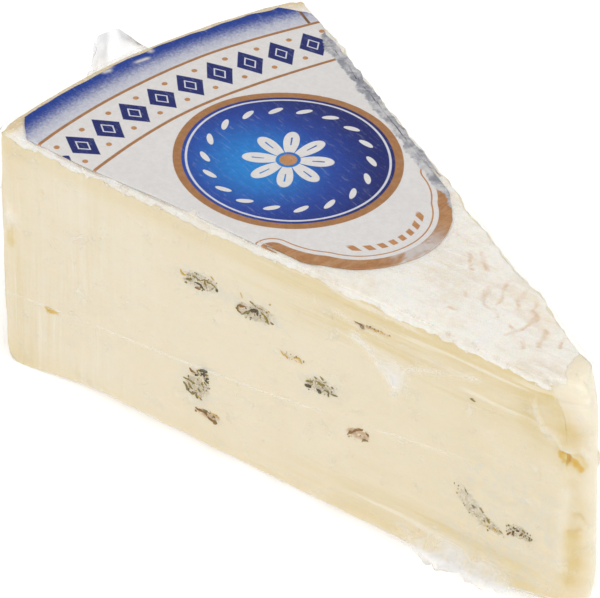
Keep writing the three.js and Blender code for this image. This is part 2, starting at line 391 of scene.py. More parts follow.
@dataclass
class BlockSkin:
    """The outer skin of a block of cells, as places in the block and quads over them."""

    along: int
    across: int
    up: int
    closer: tuple[float, float, float] = (0.4, 0.4, 0.4)
    open_base: bool = False

    def __post_init__(self) -> None:
        """Numbers the skin's points once each and lays quads over each side, facing out of the wedge."""
        shape = (self.along + 1, self.across + 1, self.up + 1)
        i, j, k = np.indices(shape)
        outer = (i == 0) | (i == self.along) | (j == 0) | (j == self.across) | (k == self.up)
        if not self.open_base:
            outer |= k == 0
        number = np.full(shape, -1)
        number[outer] = np.arange(outer.sum())
        self.a = ends_closer(self.along, self.closer[0])[i[outer]]
        self.b = 2 * ends_closer(self.across, self.closer[1])[j[outer]] - 1
        self.c = ends_closer(self.up, self.closer[2])[k[outer]]
        sides = [
            sheet_quads(number[0]),
            sheet_quads(number[-1], flipped=True),
            sheet_quads(number[:, 0], flipped=True),
            sheet_quads(number[:, -1]),
            sheet_quads(number[:, :, -1], flipped=True),
        ]
        if not self.open_base:
            sides.append(sheet_quads(number[:, :, 0]))
        self.quads = np.concatenate(sides)
        low = number[:, :, 0]
        self.hem = np.concatenate([low[:-1, 0], low[-1, :-1], low[:0:-1, -1], low[0, :0:-1]])


def closed_sheet(upper: Array, lower: Array, values: dict[str, Array]) -> Surface:
    """A thin sheet from two grids of points, closed all round its edge.

    Args:
        upper: Grid of points of the side whose quads are turned as sheet_quads gives them.
        lower: The same grid on the other side.
        values: Named values on the grid, used on both sides.

    Returns:
        The closed surface.
    """
    rows, columns = upper.shape[:2]
    top = np.arange(rows * columns).reshape(rows, columns)
    base = top + rows * columns
    ring = np.concatenate([top[:-1, 0], top[-1, :-1], top[:0:-1, -1], top[0, :0:-1]])
    after = np.roll(ring, -1)
    wall = np.stack([after, ring, ring + rows * columns, after + rows * columns], axis=-1)
    points = np.concatenate([upper.reshape(-1, 3), lower.reshape(-1, 3)])
    quads = np.concatenate([sheet_quads(top), sheet_quads(base, flipped=True), wall])
    return Surface(points, [quads], {key: np.tile(value.ravel(), 2) for key, value in values.items()})


# ---- Shader nodes ----


class Value:
    """A value that varies over a surface: one socket, with the usual signs for sums on it."""

    def __init__(self, bench: "Bench", socket: bpy.types.NodeSocket) -> None:
        """Holds the socket and the bench that adds to its tree."""
        self.bench, self.socket = bench, socket

    def sum(self, operation: str, *others: "Feed", clamp: bool = False) -> "Value":
        """One sum that starts with this value."""
        return self.bench.math(operation, self, *others, clamp=clamp)

    def __add__(self, other: "Feed") -> "Value":
        """Both together."""
        return self.sum("ADD", other)

    def __sub__(self, other: "Feed") -> "Value":
        """This less the other."""
        return self.sum("SUBTRACT", other)

    def __rsub__(self, other: "Feed") -> "Value":
        """The other less this."""
        return self.bench.math("SUBTRACT", other, self)

    def __mul__(self, other: "Feed") -> "Value":
        """This times the other."""
        return self.sum("MULTIPLY", other)

    def __truediv__(self, other: "Feed") -> "Value":
        """This over the other."""
        return self.sum("DIVIDE", other)

    def __pow__(self, power: float) -> "Value":
        """This to a power."""
        return self.sum("POWER", power)

    def __abs__(self) -> "Value":
        """This without its sign."""
        return self.sum("ABSOLUTE")

    __radd__, __rmul__ = __add__, __mul__

    def most(self, other: "Feed") -> "Value":
        """The larger of both."""
        return self.sum("MAXIMUM", other)

    def step(self, low: float, high: float) -> "Value":
        """The smooth step from 0 at low to 1 at high, whichever of them is larger."""
        ends = {"From Min": min(low, high), "From Max": max(low, high),
                "To Min": float(low > high), "To Max": float(low < high)}
        return self.bench.out("MapRange", {"Value": self, **ends}, "Result", interpolation_type="SMOOTHSTEP")

    def between(self, low: float, high: float, soft: float) -> "Value":
        """1 between low and high, with soft edges."""
        return self.step(low - soft, low + soft) * self.step(high + soft, high - soft)


Feed = Value | float | tuple


def length(x: Value, y: Value) -> Value:
    """The length of a run of x one way and y the other."""
    return (x * x + y * y).sum("SQRT")


class Bench:
    """Places nodes in one tree and wires them."""

    def __init__(self, tree: bpy.types.NodeTree) -> None:
        """Starts work on a tree."""
        self.tree = tree

    def put(self, kind: str, inputs: dict, **settings) -> bpy.types.Node:
        """Adds a node.

        Args:
            kind: The node's type, without its leading "ShaderNode".
            inputs: What feeds each input, by name or number.
            settings: The node's own settings.

        Returns:
            The node.
        """
        node = self.tree.nodes.new(f"ShaderNode{kind}")
        for key, value in settings.items():
            setattr(node, key, value)
        self.feed(node, inputs)
        return node

    def feed(self, node: bpy.types.Node, inputs: dict) -> None:
        """Feeds a node's inputs: links those that get a value, and sets the others."""
        for key, item in inputs.items():
            if isinstance(item, Value):
                self.tree.links.new(item.socket, node.inputs[key])
            else:
                node.inputs[key].default_value = item

    def out(self, kind: str, inputs: dict, output: str | int = 0, **settings) -> Value:
        """Adds a node and hands out one of its outputs."""
        return Value(self, self.put(kind, inputs, **settings).outputs[output])

    def math(self, operation: str, *values: Feed, clamp: bool = False) -> Value:
        """One sum on up to three values."""
        return self.out("Math", dict(enumerate(values)), operation=operation, use_clamp=clamp)

    def vector(self, operation: str, *values: Feed) -> Value:
        """One sum on vectors."""
        return self.out("VectorMath", dict(enumerate(values)), operation=operation)

    def mix(self, share: Feed, first: Feed, second: Feed) -> Value:
        """One number turned into another by a share."""
        return self.out("Mix", {0: share, 2: first, 3: second})

    def blend(self, share: Feed, first: Feed, second: Feed, mode: str = "MIX") -> Value:
        """One colour turned into another by a share."""
        return self.out("Mix", {0: share, 6: first, 7: second}, 2, data_type="RGBA", blend_type=mode)

    def noise(self, where: Value, scale: Feed, detail: float = 2.0, rough: float = 0.5, bend: float = 0.0) -> Value:
        """Noise from 0 to 1, where scale is the number of lumps a metre, one number or one for each axis."""
        if isinstance(scale, tuple):
            where, scale = self.vector("MULTIPLY", where, scale), 1.0
        inputs = {"Vector": where, "Scale": scale, "Detail": detail, "Roughness": rough, "Distortion": bend}
        return self.out("TexNoise", inputs)

    def value(self, name: str) -> Value:
        """A named value of the piece's points."""
        return self.out("Attribute", {}, "Fac", attribute_name=name)

    def bump(self, height: Feed, strength: float, distance: float) -> Value:
        """The direction of a surface with a fine height on it, in metres."""
        return self.out("Bump", {"Height": height, "Strength": strength, "Distance": distance})

    def split(self, vector: Value) -> tuple[Value, ...]:
        """A vector's three parts."""
        return tuple(Value(self, part) for part in self.put("SeparateXYZ", {0: vector}).outputs)


class Coat:
    """The colour of a surface, painted over layer by layer."""

    def __init__(self, bench: Bench, colour: Feed) -> None:
        """Starts with a first colour."""
        self.bench, self.colour = bench, colour

    def paint(self, share: Feed, colour: Feed, mode: str = "MIX") -> None:
        """Lays a colour over the last one by a share."""
        self.colour = self.bench.blend(share, self.colour, colour, mode)


def shared_effect(name: str, inputs: dict[str, str], outputs: dict[str, str]) -> tuple[Bench, dict, bpy.types.Node]:
    """Starts a node group.

    Args:
        name: The group's name.
        inputs: Socket types by name.
        outputs: Socket types by name.

    Returns:
        The bench on the group, the values that come in, and the node that hands values out.
    """
    bench = Bench(bpy.data.node_groups.new(name, "ShaderNodeTree"))
    for direction, sockets in (("INPUT", inputs), ("OUTPUT", outputs)):
        for key, kind in sockets.items():
            bench.tree.interface.new_socket(key, in_out=direction, socket_type=f"NodeSocket{kind}")
    start = bench.tree.nodes.new("NodeGroupInput")
    end = bench.tree.nodes.new("NodeGroupOutput")
    return bench, {key: Value(bench, start.outputs[key]) for key in inputs}, end


class Effects:
    """The effects that several finishes share, each a group that is built once."""

    def __init__(self) -> None:
        """Builds both groups."""
        self.mottle, self.streaks = self._mottle(), self._streaks()

    def _mottle(self) -> bpy.types.NodeTree:
        """Broad and fine blotches of a second colour over a first, and the fine blotches as a height."""
        kinds = {"Vector": "Vector", "Scale": "Float", "Fine": "Float", "Amount": "Float",
                 "First": "Color", "Second": "Color"}
        bench, start, end = shared_effect("soft_mottle", kinds, {"Color": "Color", "Height": "Float"})
        broad = bench.noise(start["Vector"], start["Scale"], 3.0, 0.55, 0.4)
        fine = bench.noise(start["Vector"], start["Scale"] * start["Fine"], 4.0, 0.65)
        share = (broad * 0.65 + fine * 0.35).step(0.38, 0.66) * start["Amount"]
        bench.feed(end, {"Color": bench.blend(share, start["First"], start["Second"]), "Height": fine})
        return bench.tree

    def _streaks(self) -> bpy.types.NodeTree:
        """Noise drawn out by a stretch for each axis."""
        kinds = {"Vector": "Vector", "Stretch": "Vector"}
        bench, start, end = shared_effect("drawn_streaks", kinds, {"Value": "Float"})
        drawn = bench.vector("MULTIPLY", start["Vector"], start["Stretch"])
        bench.feed(end, {"Value": bench.noise(drawn, 1.0, 4.0, 0.6, 0.3)})
        return bench.tree

    def blotches(self, where: Value, scale: float, fine: float, amount: float, first: Feed, second: Feed) -> tuple:
        """Places the blotches.

        Args:
            where: The place on the piece in metres.
            scale: Broad blotches a metre.
            fine: How many times smaller the fine ones are.
            amount: The most of the second colour.
            first: The first colour.
            second: The second colour.

        Returns:
            The colour, and the height.
        """
        inputs = {"Vector": where, "Scale": scale, "Fine": fine, "Amount": amount, "First": first, "Second": second}
        node = where.bench.put("Group", inputs, node_tree=self.mottle)
        return tuple(Value(where.bench, part) for part in node.outputs)

    def drawn(self, where: Value, *stretch: float) -> Value:
        """Places the drawn-out noise, with its lumps a metre along each axis."""
        return where.bench.out("Group", {"Vector": where, "Stretch": stretch}, node_tree=self.streaks)


def new_material(name: str) -> tuple[bpy.types.Material, Bench, bpy.types.Node, Value]:
    """A material, the bench on its tree, its Principled shader and the place on the piece in metres."""
    material = bpy.data.materials.new(name)
    material.use_nodes = True
    bench = Bench(material.node_tree)
    return material, bench, material.node_tree.nodes["Principled BSDF"], bench.out("TexCoord", {}, "Object")


# ---- Finishes ----


@dataclass(frozen=True)
class CheeseFinish:
    """Cream paste with yellower bands, blue mould in its openings, and a white mould rind with pink marks."""

    cream: tuple = linear(233, 223, 200)
    butter: tuple = linear(230, 216, 186)
    pale: tuple = linear(244, 238, 222)
    pale_highlight: tuple = linear(252, 245, 226)
    deep_butter_and_shade: tuple = linear(222, 200, 140)
    rind: tuple = linear(253, 248, 239)
    rind_shade: tuple = linear(235, 223, 204)
    skin: tuple = linear(226, 204, 164)
    mark: tuple = linear(225, 197, 166)
    yellow: tuple = linear(226, 190, 84)
    rust: tuple = linear(200, 160, 120)
    halo: tuple = linear(212, 210, 200)
    olive: tuple = linear(138, 118, 44)
    slate: tuple = linear(148, 138, 92)
    roughness: float = 0.55
    rind_roughness: float = 0.9
    name: str = "cheese_paste_and_rind"
    subsurface: float = 0.35

    def build(self, effects: Effects) -> bpy.types.Material:
        """Makes the material.

        Args:
            effects: The shared effects.

        Returns:
            The material.
        """
        material, bench, shader, where = new_material(self.name)
        fine = bench.noise(where, 1500, 4.0, 0.6)
        ragged = (bench.noise(where, 650, 4.0, 0.65) - 0.5) * 0.5

        # The paste: soft blotches, yellow bands, painted shade and light on the tip's folds, knife streaks, comb lines,
        # specks and curd.
        tinge_and_shading, taut, combed = (bench.value(name) for name in ("butter", "taut", "combed"))
        coat = Coat(bench, effects.blotches(where, 45.0, 9.0, 0.55, self.cream, self.butter)[0])
        # The butter value tints the paste: yellower above 0 for real bands of tone and for painted shade in the tip's
        # fold hollows, paler below 0 as painted light on the fold ridges and the tip's face.
        coat.paint(tinge_and_shading.most(0.0), self.deep_butter_and_shade)
        coat.paint(tinge_and_shading.sum("MULTIPLY", -1.0, clamp=True), self.pale_highlight)
        drawn = effects.drawn(where, 30.0, 30.0, 620.0)
        comb = effects.drawn(where, 1300.0, 500.0, 45.0)
        strong = taut * 0.52 + 0.04
        coat.paint(drawn.step(0.5, 0.64) * strong, self.deep_butter_and_shade)
        coat.paint(drawn.step(0.46, 0.34) * strong, self.pale)
        coat.paint(comb.step(0.5, 0.66) * combed * 0.4, self.deep_butter_and_shade)
        coat.paint(comb.step(0.47, 0.34) * combed * 0.5, self.pale)
        coat.paint(bench.noise(where, 520, 5.0, 0.75).step(0.66, 0.74) * 0.45, self.deep_butter_and_shade)
        curd = bench.noise(where, 240, 5.0, 0.75, 0.6).step(0.56, 0.7)
        coat.paint(curd * 0.5, self.pale)
        coat.paint((bench.value("yellow") + ragged * 1.7).step(0.25, 0.75) * 0.9, self.yellow)
        rust = (bench.value("rust") + ragged).step(0.3, 0.8) * bench.noise(where, 1600, 3.0, 0.7).step(0.34, 0.56)
        coat.paint(rust * 0.8, self.rust)

        # Mould in the openings: a pale haze, fine threads and blotches.
        coat.paint(bench.value("halo") * bench.noise(where, 420, 4.0, 0.7, 1.2).step(0.4, 0.62) * 0.4, self.halo)
        thread = abs(bench.noise(where, 900, 3.0, 0.6, 1.6) - 0.5).step(0.05, 0.015)
        blotch = bench.noise(where, 700, 4.0, 0.7, 0.8).step(0.5, 0.64)
        grown = (thread * 0.34).most(blotch * 0.1) * (bench.value("mould") + ragged).step(0.35, 0.75)
        coat.paint(grown, bench.blend(bench.noise(where, 500, 2.0).step(0.42, 0.58), self.olive, self.slate))

        # The rind: brushed felt with freckles, marks and a tan skin towards the rim.
        crumbly = ragged * 1.3 + (bench.noise(where, 2400, 2.0) - 0.5) * 0.3
        rind = (bench.value("rind") + crumbly).step(0.46, 0.56)
        aligned = bench.out("VectorRotate", {"Vector": where, "Angle": -FORM.half_angle}, rotation_type="Z_AXIS")
        brushed = effects.drawn(aligned, 110.0, 620.0, 620.0)
        crust = Coat(bench, effects.blotches(where, 110.0, 7.0, 0.7, self.rind, self.rind_shade)[0])
        crust.paint(brushed.step(0.5, 0.62) * 0.75, self.rind)
        crust.paint(brushed.step(0.42, 0.3) * 0.5, self.rind_shade)
        freckle = bench.noise(where, 480, 4.0, 0.7).step(0.64, 0.74) * 0.3
        stroke = bench.value("mark") + (bench.noise(where, 1300, 3.0, 0.7) - 0.5) * 0.9
        faded = 0.3 + bench.noise(where, 380, 2.0).step(0.36, 0.6) * 0.5
        crust.paint((stroke.step(0.62, 0.0) * faded).most(freckle), self.mark)
        crust.paint(bench.value("skin") * fine.step(0.2, 0.55), self.skin)
        coat.paint(rind, crust.colour)

        felt = bench.noise(where, 2200, 3.0, 0.7) + brushed * 1.6
        grain = drawn * (0.1 + taut * 1.3) + (fine + curd) * 0.4 + comb * combed
        bench.feed(shader, {
            "Base Color": coat.colour,
            "Normal": bench.bump(bench.mix(rind, grain, felt) + grown, 0.8, 0.0004),
            "Roughness": bench.mix(rind, self.roughness, self.rind_roughness),
            "Subsurface Weight": self.subsurface,
            "Subsurface Radius": (1.0, 0.72, 0.42),
            "Subsurface Scale": 0.004,
            "Specular IOR Level": 0.3,
        })
        return material


class Tone(Enum):
    """The colours of mould growth, as places on one scale from dark to gold."""

    BLACK = 0.04
    OLIVE = 0.27
    GREY = 0.5
    BROWN = 0.73
    GOLD = 0.96


@dataclass(frozen=True)
class MouldFinish:
    """Dull mould threads, whose colour follows the value named tone from dark green over grey to gold."""

    colours: tuple = (
        (Tone.BLACK, linear(66, 58, 26)),
        (Tone.OLIVE, linear(140, 122, 36)),
        (Tone.GREY, linear(128, 118, 64)),
        (Tone.BROWN, linear(136, 96, 30)),
        (Tone.GOLD, linear(208, 170, 66)),
    )
    dust: tuple = linear(206, 192, 150)
    dust_share: float = 0.12
    roughness: float = 0.85

    def build(self, effects: Effects) -> bpy.types.Material:
        """Makes the material, as the cheese's does."""
        material, bench, shader, where = new_material("mould_growth")
        ramp = bench.put("ValToRGB", {0: bench.value("tone")})
        stops = ramp.color_ramp.elements
        for stop, (tone, colour) in zip(stops, self.colours):
            stop.position, stop.color = tone.value, colour
        for tone, colour in self.colours[len(stops):]:
            stops.new(tone.value).color = colour
        growth = Value(bench, ramp.outputs[0])
        dusty = bench.blend(self.dust_share, growth, self.dust)
        colour, height = effects.blotches(where, 700.0, 3.0, 0.8, growth, dusty)
        bench.feed(shader, {
            "Base Color": colour,
            "Normal": bench.bump(height, 0.6, 0.0002),
            "Roughness": self.roughness,
            "Specular IOR Level": 0.2,
        })
        return material


@dataclass(frozen=True)
class LabelFinish:
    """A printed metallic paper: lozenges on a light band, an oval medallion with a flower, copper edges.

    Lengths are in millimetres, and distances are from the wedge's sharp tip.
    """

    paper: tuple = linear(222, 219, 217)
    silver: tuple = linear(212, 213, 221)
    deep_blue: tuple = linear(18, 32, 106)
    mid_blue: tuple = linear(28, 66, 158)
    azure: tuple = linear(20, 126, 206)
    rim_blue: tuple = linear(12, 58, 152)
    copper: tuple = linear(186, 132, 84)
    brown: tuple = linear(126, 88, 50)
    rim_edge: float = 119.0
    cut_bearing: float = math.radians(13.8)
    band_middle: float = 107.0
    band_half: float = 5.6
    band_spread: float = math.radians(28.5)
    lozenge: tuple = (2.5, 3.7)
    lozenges: int = 9
    centre: float = 81.8
    medallion: tuple = (18.6, 18.0)
    petal: float = 7.4
    leaves: int = 18
    end_band: float = 2.3
    foil_width: float = 2.6

    def _rim(self, coat: Coat, where: Value, radius: Value, bearing: Value) -> Value:
        """Paints the rim, deep blue that fades to silver, painted film highlights near the rim, and the band's copper
        lines, lozenges and dots.

        Args:
            coat: The colour so far.
            where: The place on the label in metres.
            radius: The distance from the tip.
            bearing: The bearing from the tip.

        Returns:
            The share that shines like metal.
        """
        bench = coat.bench
        fade = self.rim_edge - radius + bench.noise(where, 2200, 2.0, 0.7) * 3.0 - 1.0
        silver_area = radius.step(self.band_middle + self.band_half - 0.2, self.band_middle + self.band_half + 0.2)
        coat.paint(silver_area, self.silver)
        coat.paint(fade.step(7.5, 1.6) * 0.5, self.mid_blue)
        coat.paint(fade.step(5.0, 1.2), self.rim_blue)
        coat.paint(abs(bearing - self.cut_bearing).step(0.003, 0.0015) * radius.step(112.6, 113.0), self.brown)
        # Painted highlights: short paper-white streaks near the rim where the film over the label catches the light.
        coat.paint(bench.value("film_glint"), self.paper)

        wide, high = self.lozenge
        pitch = self.band_spread * self.band_middle / self.lozenges
        cell = abs((bearing * (self.lozenges / self.band_spread) + 0.5).sum("FRACT") - 0.5)
        level = abs(radius - self.band_middle)
        slope = cell * (pitch / wide) + level / high
        coat.paint(slope.step(1.03, 0.97), self.deep_blue)
        coat.paint(slope.between(0.36, 0.47, 0.02), self.silver)
        coat.paint((((0.5 - cell) * pitch) ** 2.0 + (level - 2.9) ** 2.0).step(0.28, 0.18), self.copper)
        line = level.between(self.band_half - 0.35, self.band_half + 0.25, 0.06)
        coat.paint(line, self.copper)
        return (silver_area * 0.12).most(line * 0.4)

    def _medallion(self, coat: Coat, u: Value, y: Value) -> Value:
        """Paints the oval, blue with a brighter heart, its copper ring, the flower and the ring of leaves.

        Args:
            coat: The colour so far.
            u: The distance from the medallion's middle towards the rim.
            y: The distance from the label's middle line.

        Returns:
            The share that shines like metal.
        """
        bench = coat.bench
        long_half, wide_half = self.medallion
        oval = length(u / long_half, y / wide_half)
        glow = length((u - 2.0) / 19.0, (y + 4.5) / 17.0)
        heart = Coat(bench, self.azure)
        heart.paint(glow.step(0.1, 0.75), self.mid_blue)
        heart.paint(glow.step(0.55, 1.15), self.deep_blue)
        coat.paint(oval.step(1.004, 0.996), self.copper)
        coat.paint(oval.step(0.93, 0.92), heart.colour)
        coat.paint(oval.between(0.875, 0.895, 0.004), self.silver)

        reach, angle = length(u, y), y.sum("ARCTAN2", u)
        petals = abs((angle * 4.0).sum("COSINE")) ** 0.55
        vein = reach.between(3.8, 5.8, 0.1) * abs((angle * 8.0).sum("SINE")).step(0.3, 0.1)
        flower = (petals * self.petal - reach).step(-0.05, 0.2) * reach.step(1.9, 2.1) * (1.0 - vein)
        leaf_u = ((angle * (self.leaves / (2 * math.pi))).sum("FRACT") - 0.5) * 4.4
        leaf_v = oval * 18.3 - 13.2
        leaf = ((leaf_u * 0.86 + leaf_v * 0.5) / 1.35) ** 2.0 + ((leaf_v * 0.86 - leaf_u * 0.5) / 0.5) ** 2.0
        coat.paint(flower.most(leaf.step(1.15, 0.85)), self.paper)
        coat.paint(reach.step(1.5, 1.35), self.copper)
        return oval.between(0.925, 1.0, 0.004) * 0.4

    def _end(self, coat: Coat, where: Value, radius: Value, bearing: Value) -> Value:
        """Paints ticks round the end that faces the tip, and the brushed copper band along its edge, with a painted
        highlight across its middle.

        Args:
            coat: The colour so far.
            where: The place on the label in metres.
            radius: The distance from the tip.
            bearing: The bearing from the tip.

        Returns:
            The share that shines like metal.
        """
        bench = coat.bench
        from_end = bench.value("end_gap")
        ticks = abs((bearing * 95.0).sum("SINE")).step(0.55, 0.75)
        coat.paint(from_end.between(4.6, 5.9, 0.08) * radius.step(59.5, 58.5) * ticks, self.copper)
        coat.paint(from_end.between(3.1, 3.35, 0.05), self.copper)
        copper = Coat(bench, self.copper)
        copper.paint(bench.noise(where, (900.0, 240.0, 60.0), 3.0, 0.7).step(0.4, 0.66) * 0.4, linear(216, 176, 138))
        # Painted highlight: a pale silver glint across the middle of the copper band.
        painted_glint = bench.noise(where, (260.0, 110.0, 60.0), 3.0, 0.6).step(0.46, 0.6) * abs(bearing).step(0.17, 0.05)
        copper.paint(painted_glint * 0.8, linear(226, 222, 220))
        band = from_end.step(self.end_band + 0.08, self.end_band - 0.08)
        coat.paint(band, copper.colour)
        return band * 0.3

    def build(self, effects: Effects) -> bpy.types.Material:
        """Makes the material, as the cheese's does."""
        material, bench, shader, where = new_material("printed_label")
        x, y, _ = bench.split(bench.vector("SUBTRACT", bench.vector("MULTIPLY", where, (1000.0,) * 3), tuple(TIP)))
        radius, bearing = length(x, y), y.sum("ARCTAN2", x * -1.0)
        coat = Coat(bench, self.paper)
        metal = self._rim(coat, where, radius, bearing)
        metal = metal.most(self._medallion(coat, x * -1.0 - self.centre, y))
        metal = metal.most(self._end(coat, where, radius, bearing))

        # Crumpled bare foil along the far cut, with a torn inner edge.
        gap = bench.value("far_gap") + bench.noise(where, 260, 4.0, 0.7) * 3.2 - 1.6
        foil = gap.step(self.foil_width + 0.2, self.foil_width - 0.2)
        coat.paint(foil, effects.blotches(where, 420.0, 3.0, 0.9, linear(158, 160, 170), linear(236, 234, 234))[0])
        greys = ((level, level, level, 1.0) for level in (0.44, 0.66))
        grain, fine = effects.blotches(where, 1100.0, 3.0, 0.9, *greys)
        coat.paint(0.5, grain, "OVERLAY")
        coat.paint(bench.noise(where, (400.0, 2600.0, 400.0), 3.0, 0.7, 0.6).step(0.56, 0.72) * 0.16, self.silver)
        crumple = foil * bench.noise(where, 600, 4.0, 0.7, 1.0)
        bench.feed(shader, {
            "Base Color": coat.colour,
            "Metallic": metal.most(foil * 0.35) * 0.85,
            "Roughness": 0.34 + fine * 0.14,
            "Normal": bench.bump(fine * 0.12 + crumple, 0.6, 0.0003),
        })
        return material


@dataclass(frozen=True)
class FilmFinish:
    """Thin clear film: it only shows where it mirrors, and where its creases turn it milky white, which is partly a
    painted highlight.
    """

    tint: tuple = linear(250, 251, 252)
    milk_and_highlight: tuple = linear(229, 229, 230)
    mirror_share: float = 0.65
    milky_highlight_share: float = 0.8
    seam_highlight_share: float = 0.26
    seam_from: float = 0.1197
    seam_curve: tuple = (0.0143, 0.075, 0.46)
    roughness: float = 0.14
    refraction: float = 1.45

    def build(self, effects: Effects) -> bpy.types.Material:
        """Makes the material, as the cheese's does."""
        material, bench, shader, where = new_material("clear_film")
        crackle, crease = bench.noise(where, 190, 1.0, 0.5, 0.8), bench.value("crease")
        height = effects.drawn(where, 90.0, 90.0, 330.0) * 0.5 + crackle * (0.12 + crease * 0.3)
        normal = bench.bump(height, 0.5, 0.0005)
        mirror = bench.out("Fresnel", {"IOR": self.refraction, "Normal": normal})

        # The fold line across the cuts, painted as a pale line, a painted highlight: a slow curve up from the rim,
        # faded towards the tip.
        x, y, z = bench.split(where)
        along = (float(TIP[0]) / 1000 - x) * COS + abs(y) * SIN
        left = self.seam_from - along
        base, slope, bend = self.seam_curve
        line = left * slope + base + left * left * bend
        seam_highlight = abs(z - line).step(0.00034, 0.00008) * bench.noise(where, 70, 2.0).step(0.25, 0.6)
        # Milky white where the film is creased: partly the whitening of creased film, partly a painted highlight.
        milky_highlight = crease.sum("MULTIPLY", crackle.step(-0.1, 0.75), clamp=True)
        milky_highlight = milky_highlight.most(seam_highlight * along.step(0.024, 0.034) * self.seam_highlight_share)
        shown = z.step(0.0008, 0.0032).most(crease.step(0.7, 0.9))
        alpha = (milky_highlight * self.milky_highlight_share + mirror * self.mirror_share) * shown
        outside = 1.0 - bench.out("NewGeometry", {}, "Backfacing")
        bench.feed(shader, {
            "Base Color": bench.blend(milky_highlight, self.tint, self.milk_and_highlight),
            "Metallic": bench.math("SUBTRACT", 1.0, milky_highlight * 5.0, clamp=True),
            "Alpha": alpha.sum("MULTIPLY", outside, clamp=True),
            "Normal": normal,
            "Roughness": self.roughness,
        })
        return material


@dataclass(frozen=True)
class FloorFinish:
    """A matt pale floor with a trace of unevenness."""

    pale: tuple = linear(254, 254, 254)
    shade: tuple = linear(252, 252, 252)
    glow: float = 0.22

    def build(self, effects: Effects) -> bpy.types.Material:
        """Makes the material, as the cheese's does."""
        material, bench, shader, where = new_material("pale_floor")
        colour, _ = effects.blotches(where, 3.0, 4.0, 1.0, self.pale, self.shade)
        bench.feed(shader, {
            "Base Color": colour,
            "Emission Color": colour,
            "Emission Strength": self.glow,
            "Roughness": 0.9,
            "Specular IOR Level": 0.1,
        })
        return material


# ---- The cheese ----


class Fill(Enum):
    """What an opening holds: its crumbs over 18 square millimetres, and their shares from dark to gold."""

    MOULD = (20, (0.2, 0.42, 0.08, 0.2, 0.1))
    DARK = (44, (0.45, 0.25, 0.1, 0.2, 0.0))
    RUST = (26, (0.0, 0.05, 0.1, 0.5, 0.35))
    FAINT = (40, (0.0, 0.0, 0.1, 0.3, 0.6))
    SMEAR = (12, (0.0, 0.55, 0.25, 0.0, 0.2))
    EMPTY = (0, (0.0, 0.0, 0.0, 0.0, 1.0))


@dataclass(frozen=True)
class Pocket:
    """An opening in a cut face: its place, its size, its tilt in degrees, its depth and what it holds."""

    along: float
    height: float
    length: float
    width: float
    tilt: float
    depth: float
    fill: Fill = Fill.MOULD

    def shift(self, face: Face) -> float:
        """How much further along it lies on a face."""
        return far_shift(self.along) if face is Face.FAR else 0.0

    def spread(self, along: Array, height: Array) -> Array:
        """The share of the way from the opening's middle to its oval edge."""
        p, q = turned(along - self.along, height - self.height, -math.radians(self.tilt))
        return np.hypot(2 * p / self.length, 2 * q / self.width)


POCKETS = (
    Pocket(80.5, 34.6, 7.6, 3.0, -9, 0.8),
    Pocket(69.4, 33.7, 7.6, 3.2, -8, 0.8),
    Pocket(80.4, 14.2, 4.6, 6.2, 10, 1.0),
    Pocket(78.4, 8.7, 5.0, 1.9, -5, 0.8, Fill.RUST),
    Pocket(62.2, 28.6, 4.4, 1.2, 0, 0.25, Fill.FAINT),
    Pocket(56.8, 25.1, 6.4, 3.0, -8, 0.9),
    Pocket(49.7, 19.1, 4.8, 2.2, -8, 0.9, Fill.RUST),
    Pocket(47.4, 41.0, 7.6, 0.9, -4, 0.6, Fill.RUST),
    Pocket(28.0, 15.6, 9.0, 2.8, 38, 0.15, Fill.SMEAR),
    Pocket(24.4, 13.9, 5.4, 1.8, 20, 0.12, Fill.SMEAR),
    Pocket(19.4, 15.2, 5.0, 2.6, 2, 0.6, Fill.DARK),
    Pocket(110.8, 14.1, 3.4, 1.3, 0, 1.2, Fill.EMPTY),
    Pocket(112.1, 37.6, 2.2, 1.6, 30, 0.5, Fill.EMPTY),
)
FAR_SHIFT = 7.0


def far_shift(along: float) -> float:
    """How much further along a place of the near face lies on the far one: nearer the rim where it still fits."""
    return FAR_SHIFT if along + FAR_SHIFT < FORM.radius - FORM.rim_base.out else -FAR_SHIFT


EDGE_NOISE = SoftNoise(71)


def cut_gap(points: Array) -> Array:
    """The distance in from the nearer cut face."""
    return -points[:, 0] * SIN - np.abs(points[:, 1]) * COS


def cut_along(points: Array) -> Array:
    """The distance from the tip's upright along the nearer cut face."""
    return -points[:, 0] * COS + np.abs(points[:, 1]) * SIN


def edge_swell(points: Array) -> Array:
    """How far the soft edges between the top and the cuts swell or sink: noise that fades within 2 mm."""
    close = np.exp(-(cut_gap(points) ** 2 + (FORM.height - points[:, 2]) ** 2) / 1.8**2)
    close *= rise(-points[:, 0], 13, 20) * rise(FORM.radius + points[:, 0], 2, 6)
    return close * (0.45 * EDGE_NOISE.layered(points, 5.0) + 0.2 * EDGE_NOISE.at(points, 1.4) - 0.12)


def polar(*places: tuple[float, float]) -> Array:
    """Places seen from above, from their distance to the tip and their bearing in degrees."""
    distance, bearing = np.array(places, dtype=float).T
    turn = np.radians(bearing)
    return np.stack([-distance * np.cos(turn), distance * np.sin(turn)], axis=1)


@dataclass(frozen=True)
class Fold:
    """A fold or crack: its width, its height, its tint and its path; the tint yellows a crack, darkens a hollow and
    lightens a ridge as painted shade and light, or whitens film, partly as a painted highlight.
    """

    width: float
    height: float
    tint: float
    path: tuple


